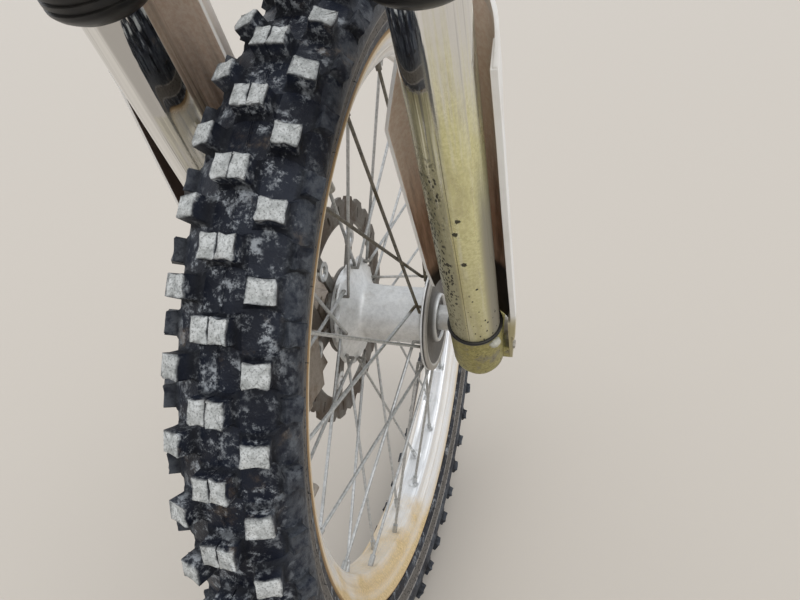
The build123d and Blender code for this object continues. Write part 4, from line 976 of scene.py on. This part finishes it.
# The hub from its left end over the flanges to its right end: place across and radius
HUB_OUTSIDE = [
    (-0.05415, 0.0210), (-0.05415, 0.0455), (-0.0532, 0.0465), (-0.0470, 0.0465), (-0.0459, 0.0472), (-0.0455, 0.0485),
    (-0.0455, 0.0560), (-0.0449, 0.0574), (-0.0438, 0.0580), (-0.0422, 0.0576), (-0.0412, 0.0562), (-0.0406, 0.0540),
    (-0.0402, 0.0516), (-0.0394, 0.0492), (-0.0380, 0.0463), (-0.0362, 0.0428), (-0.0340, 0.0388), (-0.0318, 0.0352),
    (-0.0296, 0.0322), (-0.0276, 0.0304), (-0.0250, 0.0296), (-0.0150, 0.0292), (0.0, 0.0290), (0.0150, 0.0291),
    (0.0300, 0.0294), (0.0338, 0.0296), (0.0350, 0.0304), (0.0357, 0.0318), (0.0368, 0.0327), (0.0384, 0.0334),
    (0.0396, 0.0350), (0.0402, 0.0378), (0.0405, 0.0430), (0.0405, 0.0524), (0.0408, 0.0539), (0.0417, 0.0549),
    (0.0427, 0.0547), (0.0433, 0.0538), (0.0436, 0.0530), (0.0440, 0.0538), (0.0446, 0.0548), (0.0456, 0.0550),
    (0.0466, 0.0545), (0.0471, 0.0532), (0.0471, 0.0500), (0.0464, 0.0468), (0.0446, 0.0430), (0.0432, 0.0380),
    (0.0427, 0.0330), (0.0428, 0.0292), (0.0436, 0.0268), (0.0458, 0.0255), (0.0484, 0.0250), (0.0498, 0.0245),
    (0.0503, 0.0234), (0.0498, 0.0224), (0.0488, 0.0217), (0.0470, 0.0212),
]
HUB_BORE = [(0.0350, 0.0210), (0.0350, 0.0160), (-0.03715, 0.0160), (-0.03715, 0.0210)]
SEAL = [(0.0466, 0.0135), (0.0480, 0.0133), (0.0486, 0.0141), (0.0480, 0.0150), (0.0474, 0.0160), (0.0482, 0.0172),
    (0.0486, 0.0186), (0.0480, 0.0200), (0.0478, 0.0209), (0.0466, 0.0211)]


def rim():
    """The rim, its walls drawn in under the flange and a ridge on each side of its well."""
    left = [(-x, r) for x, r in reversed(RIM_HALF[:-1])]
    left_inside = [(-x, r) for x, r in reversed(RIM_INSIDE[1:])]
    piece = spun("rim_form", RIM_HALF + left + left_inside + RIM_INSIDE, steps=240)
    return place_piece(settle(piece, LEAN), "wheel", paint_rim(), ("rim",))


def hub():
    """The cast hub: a smooth flare up to a scalloped left flange, and a double-ridged right one, dished outside."""
    piece = spun("hub_form", HUB_OUTSIDE + HUB_BORE, steps=144)
    cutters = []
    for index in range(HUB_PETALS):
        angle = math.radians(FIRST_SCALLOP + index * 360.0 / HUB_PETALS)
        clear_selection()
        bpy.ops.mesh.primitive_cylinder_add(
            vertices=64, radius=0.014, depth=0.02, rotation=(0, math.pi / 2, 0),
            location=(-0.0502, 0.067 * math.cos(angle), 0.067 * math.sin(angle)),
        )
        cutters.append(bpy.context.object)
    cutter = joined("scallops", cutters)
    settle(cutter, Matrix.Identity(4))
    apply_modifier(piece, "BOOLEAN", object=cutter, operation="DIFFERENCE", solver="EXACT")
    drop(cutter)
    apply_modifier(
        piece, "BEVEL", width=0.0007, segments=2, limit_method="ANGLE", angle_limit=math.radians(40.0),
        use_clamp_overlap=True,
    )
    pick(piece)
    bpy.ops.object.shade_smooth_by_angle(angle=math.radians(40.0))
    return place_piece(settle(piece, LEAN), "wheel", paint_hub(), ("hub",))


def wheel_seals(material):
    """The rubber seals in both ends of the hub, each with its lip."""
    right = spun("seal_right", SEAL, steps=72)
    left = spun("seal_left", [(-x - 0.0050, r) for x, r in SEAL], steps=72)
    piece = joined("wheel_seals_form", [right, left])
    return place_piece(settle(piece, LEAN), "wheel", material, ("wheel_seals",))


def fork_guard(side):
    """The guard with its edges rounded, marked where it faces the tube."""
    piece = softened(f"fork_guard_{side}", 0.0008)
    inside = piece.data.attributes.new("inside", "FLOAT", "FACE")
    upright = on_leg(side).inverted()
    for face in piece.data.polygons:
        middle = upright @ face.center
        normal = upright.to_3x3() @ face.normal
        inwards = Vector((-middle.x, -middle.y, 0)).normalized()
        rear_edge = abs(normal.x) < 0.05 and middle.y < 0.034
        inside.data[face.index].value = 1.0 if normal.dot(inwards) > 0.35 and not rear_edge else 0.0
    plastic = paint_guard(side)
    if side == "right":
        guard_lip(plastic)
    return place_piece(piece, "fork", plastic, (f"fork_guard_{side}",))


def guard_lip(material):
    """The thickened lip along the right guard's free outer edge."""
    outwards = SIDES["right"]
    height, reach = GUARD_LIP[0]
    clear_selection()
    bpy.ops.mesh.primitive_plane_add(size=1.0, location=(outwards * (reach - 0.0022), 0.0012, height))
    lip = bpy.context.object
    lip.name = "guard_lip_right"
    lip.scale = (0.0048, 0.0030, 1.0)
    bpy.ops.object.transform_apply(location=True, scale=True)
    edit(lip)
    bpy.ops.mesh.select_all(action="SELECT")
    for next_height, next_reach in GUARD_LIP[1:]:
        step = (outwards * (next_reach - reach), 0, next_height - height)
        bpy.ops.mesh.extrude_region_move(TRANSFORM_OT_translate={"value": step})
        height, reach = next_height, next_reach
    bpy.ops.mesh.extrude_region_move(TRANSFORM_OT_translate={"value": (-outwards * 0.0010, 0.0095, 0.0125)})
    bpy.ops.transform.resize(value=(0.35, 0.35, 1.0), center_override=(outwards * (reach - 0.0022), 0.0105, 0.0))
    lip = finish_mesh(35.0)
    apply_modifier(lip, "BEVEL", width=0.0009, segments=2, limit_method="ANGLE", angle_limit=math.radians(40.0))
    pick(lip)
    bpy.ops.object.shade_smooth_by_angle(angle=math.radians(40.0))
    return place_piece(settle(lip, on_leg("right")), "fork", material)


def caked_lump(material):
    """A lump of dried sealant where the guard's foot meets the right lug."""
    clear_selection()
    bpy.ops.mesh.primitive_ico_sphere_add(subdivisions=3, radius=1.0)
    lump = bpy.context.object
    lump.name = "caked_lump"
    edit(lump)
    bpy.ops.mesh.select_all(action="SELECT")
    bpy.ops.transform.resize(value=(0.0052, 0.0060, 0.0036))
    bpy.ops.transform.vertex_random(offset=0.0005, uniform=0.2, normal=1.0, seed=4)
    lump = finish_mesh(70.0)
    settle(lump, LEAN @ Matrix.Translation((0.1135, -0.0495, 0.0445)) @ Matrix.Rotation(math.radians(-28.0), 4, "Z"))
    return place_piece(lump, "fork", material)


def bolt_head(name, radius, height, flange, thickness):
    """A hexagon head with a round flange, its foot at the origin: chamfered, and dished in its top."""
    clear_selection()
    bpy.ops.mesh.primitive_cylinder_add(vertices=6, radius=radius, depth=height, location=(0, 0, thickness + height / 2))
    head = bpy.context.object
    head.name = name
    edit(head)
    select_faces(head, lambda c, n: n.z > 0.9)
    bpy.ops.mesh.inset(thickness=radius * 0.16, depth=0.0)
    bpy.ops.mesh.inset(thickness=radius * 0.10, depth=-height * 0.16)
    select_points(head, lambda p: p.z > thickness + height * 0.9 and math.hypot(p.x, p.y) > radius * 0.95)
    bpy.ops.transform.translate(value=(0, 0, -height * 0.10))
    head = finish_mesh(25.0)
    clear_selection()
    bpy.ops.mesh.primitive_cylinder_add(vertices=20, radius=flange, depth=thickness, location=(0, 0, thickness / 2))
    skirt = bpy.context.object
    edit(skirt)
    select_faces(skirt, lambda c, n: n.z > 0.9)
    bpy.ops.mesh.inset(thickness=flange * 0.12, depth=thickness * 0.35)
    skirt = finish_mesh(30.0)
    return joined(name, [head, skirt])


def bolts(name, head, places, body, material):
    """Copies of one bolt head at its places, each a point in millimetres and the direction it faces."""
    copies = [twin(head, seated(place, outwards)) for place, outwards in places]
    piece = joined(name, copies)
    return place_piece(piece, body, material)


def round_the_axle(x, radius, angle):
    """A place in millimetres from its X, its distance from the axle and its angle from straight ahead to the top."""
    return (x, radius * math.cos(math.radians(angle)), radius * math.sin(math.radians(angle)))


def caliper_place(x, radius, along):
    """A place on the caliper, which is drawn with the wheel's radius along Y."""
    turn = Matrix.Rotation(math.radians(CALIPER_ANGLE), 3, "X")
    return tuple(turn @ Vector((x, radius, along)))


def all_bolts(material):
    large = bolt_head("large_bolt", 0.0052, 0.0052, 0.0068, 0.0014)
    small = bolt_head("small_bolt", 0.0042, 0.0040, 0.0054, 0.0011)
    disc = [(round_the_axle(-57.7, 38.0, DISC_ARM_PHASE + 60.0 * k), (-1, 0, 0)) for k in range(6)]
    bolts("disc_bolts", small, disc, "wheel", material)
    pinch = []
    guard = []
    for side, sign in SIDES.items():
        for step in (-10.5, 10.5):
            pinch.append(((sign * 94.0 + step, 27.0, -12.0), (0, 0, -1)))
            pinch.append(((sign * 94.0 + step, 27.0, 12.0), (0, 0, 1)))
        guard.append(((sign * 126.1, -26.5, 0.0), (sign, 0, 0)))
        guard.append(((sign * 126.1, -26.5, 30.0), (sign, 0, 0)))
    bolts("lug_pinch_bolts", small, pinch, "fork", material)
    bolts("guard_bolts", small, guard, "fork", material)
    clamp = []
    for sign in SIDES.values():
        for height in (700.0, 722.0, 889.0, 903.0):
            clamp.append(((sign * 109.0, -73.5, height), (sign, 0, 0)))
    bolts("clamp_bolts", small, clamp, "fork", material)
    caps = []
    for sign in SIDES.values():
        for x in (-8.5, 8.5):
            for y in (-15.0, 15.0):
                caps.append(((sign * 48.0 + x, -42.0 + y, 972.4), (0, 0, 1)))
    bolts("bar_cap_bolts", small, caps, "fork", material)
    outer_face = -93.9
    caliper = [
        (caliper_place(outer_face, 124.0, 33.0), (-1, 0, 0)),
        (caliper_place(outer_face, 124.0, -33.0), (-1, 0, 0)),
    ]
    bolts("caliper_bolts", large, caliper, "fork", material)
    drop(large)
    drop(small)


# Everything

set_camera()
set_floor()
set_light()
bpy.context.scene.view_settings.view_transform = "Standard"

tyre()
vent_hairs()
rim()
hub()

steel = paint_steel("dull_steel", (0.36, 0.35, 0.32), (0.52, 0.51, 0.48), (0.20, 0.14, 0.09), 0.5, 0.38)
bright_collar = paint_cast("bright_collar", (0.66, 0.66, 0.65), (0.80, 0.80, 0.79), (0.40, 0.36, 0.29), 0.3, 0.35)
fork_alloy = paint_cast("satin_fork_alloy", (0.42, 0.42, 0.42), (0.50, 0.50, 0.50), (0.33, 0.29, 0.24), 0.2, 0.34)
clamp_alloy = paint_cast("satin_clamp_alloy", (0.33, 0.34, 0.35), (0.44, 0.45, 0.46), (0.30, 0.27, 0.23), 0.4, 0.4)
caliper_alloy = paint_cast("dirty_caliper", (0.24, 0.20, 0.16), (0.36, 0.31, 0.26), (0.16, 0.10, 0.06), 0.9, 0.5)
sealant = paint_cast("pale_sealant", (0.46, 0.45, 0.38), (0.60, 0.58, 0.50), (0.30, 0.26, 0.12), 0.8, 0.7)
wiper_rubber = paint_rubber("wiper_rubber", (0.0050, 0.0050, 0.0056), (0.20, 0.175, 0.14), 0.10, 0.36)
black_rubber = paint_rubber("seal_rubber", (0.012, 0.012, 0.013), (0.20, 0.18, 0.15), 0.18, 0.42)
wire = paint_spokes()
disc_steel = paint_disc()

CAD_FINISHES = {
    "rim": steel,
    "hub": steel,
    "wheel_bearings": steel,
    "wheel_seals": black_rubber,
    "valve_stem": steel,
    "rim_lock": steel,
    "spokes_left": wire,
    "spokes_right": wire,
    "nipples": wire,
    "brake_disc": disc_steel,
    "wheel_axle": steel,
    "axle_nut": steel,
    "steering_stem": steel,
    "stem_nut": steel,
    "lower_clamp": clamp_alloy,
    "upper_clamp": clamp_alloy,
    "bar_mounts": clamp_alloy,
    "bar_mount_caps": clamp_alloy,
    "brake_caliper": caliper_alloy,
    "caliper_bracket": caliper_alloy,
    "brake_pads": disc_steel,
}
for side in SIDES:
    CAD_FINISHES[f"axle_collar_{side}"] = bright_collar
    CAD_FINISHES[f"axle_lug_{side}"] = paint_lug(side) if side == "right" else caliper_alloy
    CAD_FINISHES[f"inner_tube_{side}"] = paint_chrome(side)
    CAD_FINISHES[f"wiper_{side}"] = black_rubber
    CAD_FINISHES[f"outer_tube_{side}"] = fork_alloy
    CAD_FINISHES[f"fork_cap_{side}"] = fork_alloy
    fork_guard(side)

for name, material in CAD_FINISHES.items():
    dress(nodes[name], material)

for side in SIDES:
    wiper = settle(spun(f"wiper_{side}_form", WIPER, "Z", 96), on_leg(side))
    place_piece(wiper, "fork", wiper_rubber, (f"wiper_{side}",))
    ring = settle(spun(f"lug_seal_ring_{side}", SEAL_RING, "Z", 72), on_leg(side))
    place_piece(ring, "fork", wiper_rubber)

for node, body, width in (
    ("lower_clamp", "fork", 0.0016),
    ("upper_clamp", "fork", 0.0014),
    ("bar_mounts", "fork", 0.001),
    ("bar_mount_caps", "fork", 0.001),
    ("brake_caliper", "fork", 0.0012),
    ("caliper_bracket", "fork", 0.001),
    ("axle_lug_left", "fork", 0.0012),
    ("axle_lug_right", "fork", 0.0012),
    ("axle_nut", "fork", 0.0007),
    ("stem_nut", "fork", 0.0007),
    ("fork_cap_left", "fork", 0.0006),
    ("fork_cap_right", "fork", 0.0006),
    ("brake_disc", "wheel", 0.0003),
):
    place_piece(softened(node, width), body, CAD_FINISHES[node], (node,))

wheel_seals(black_rubber)
caked_lump(sealant)
all_bolts(steel)
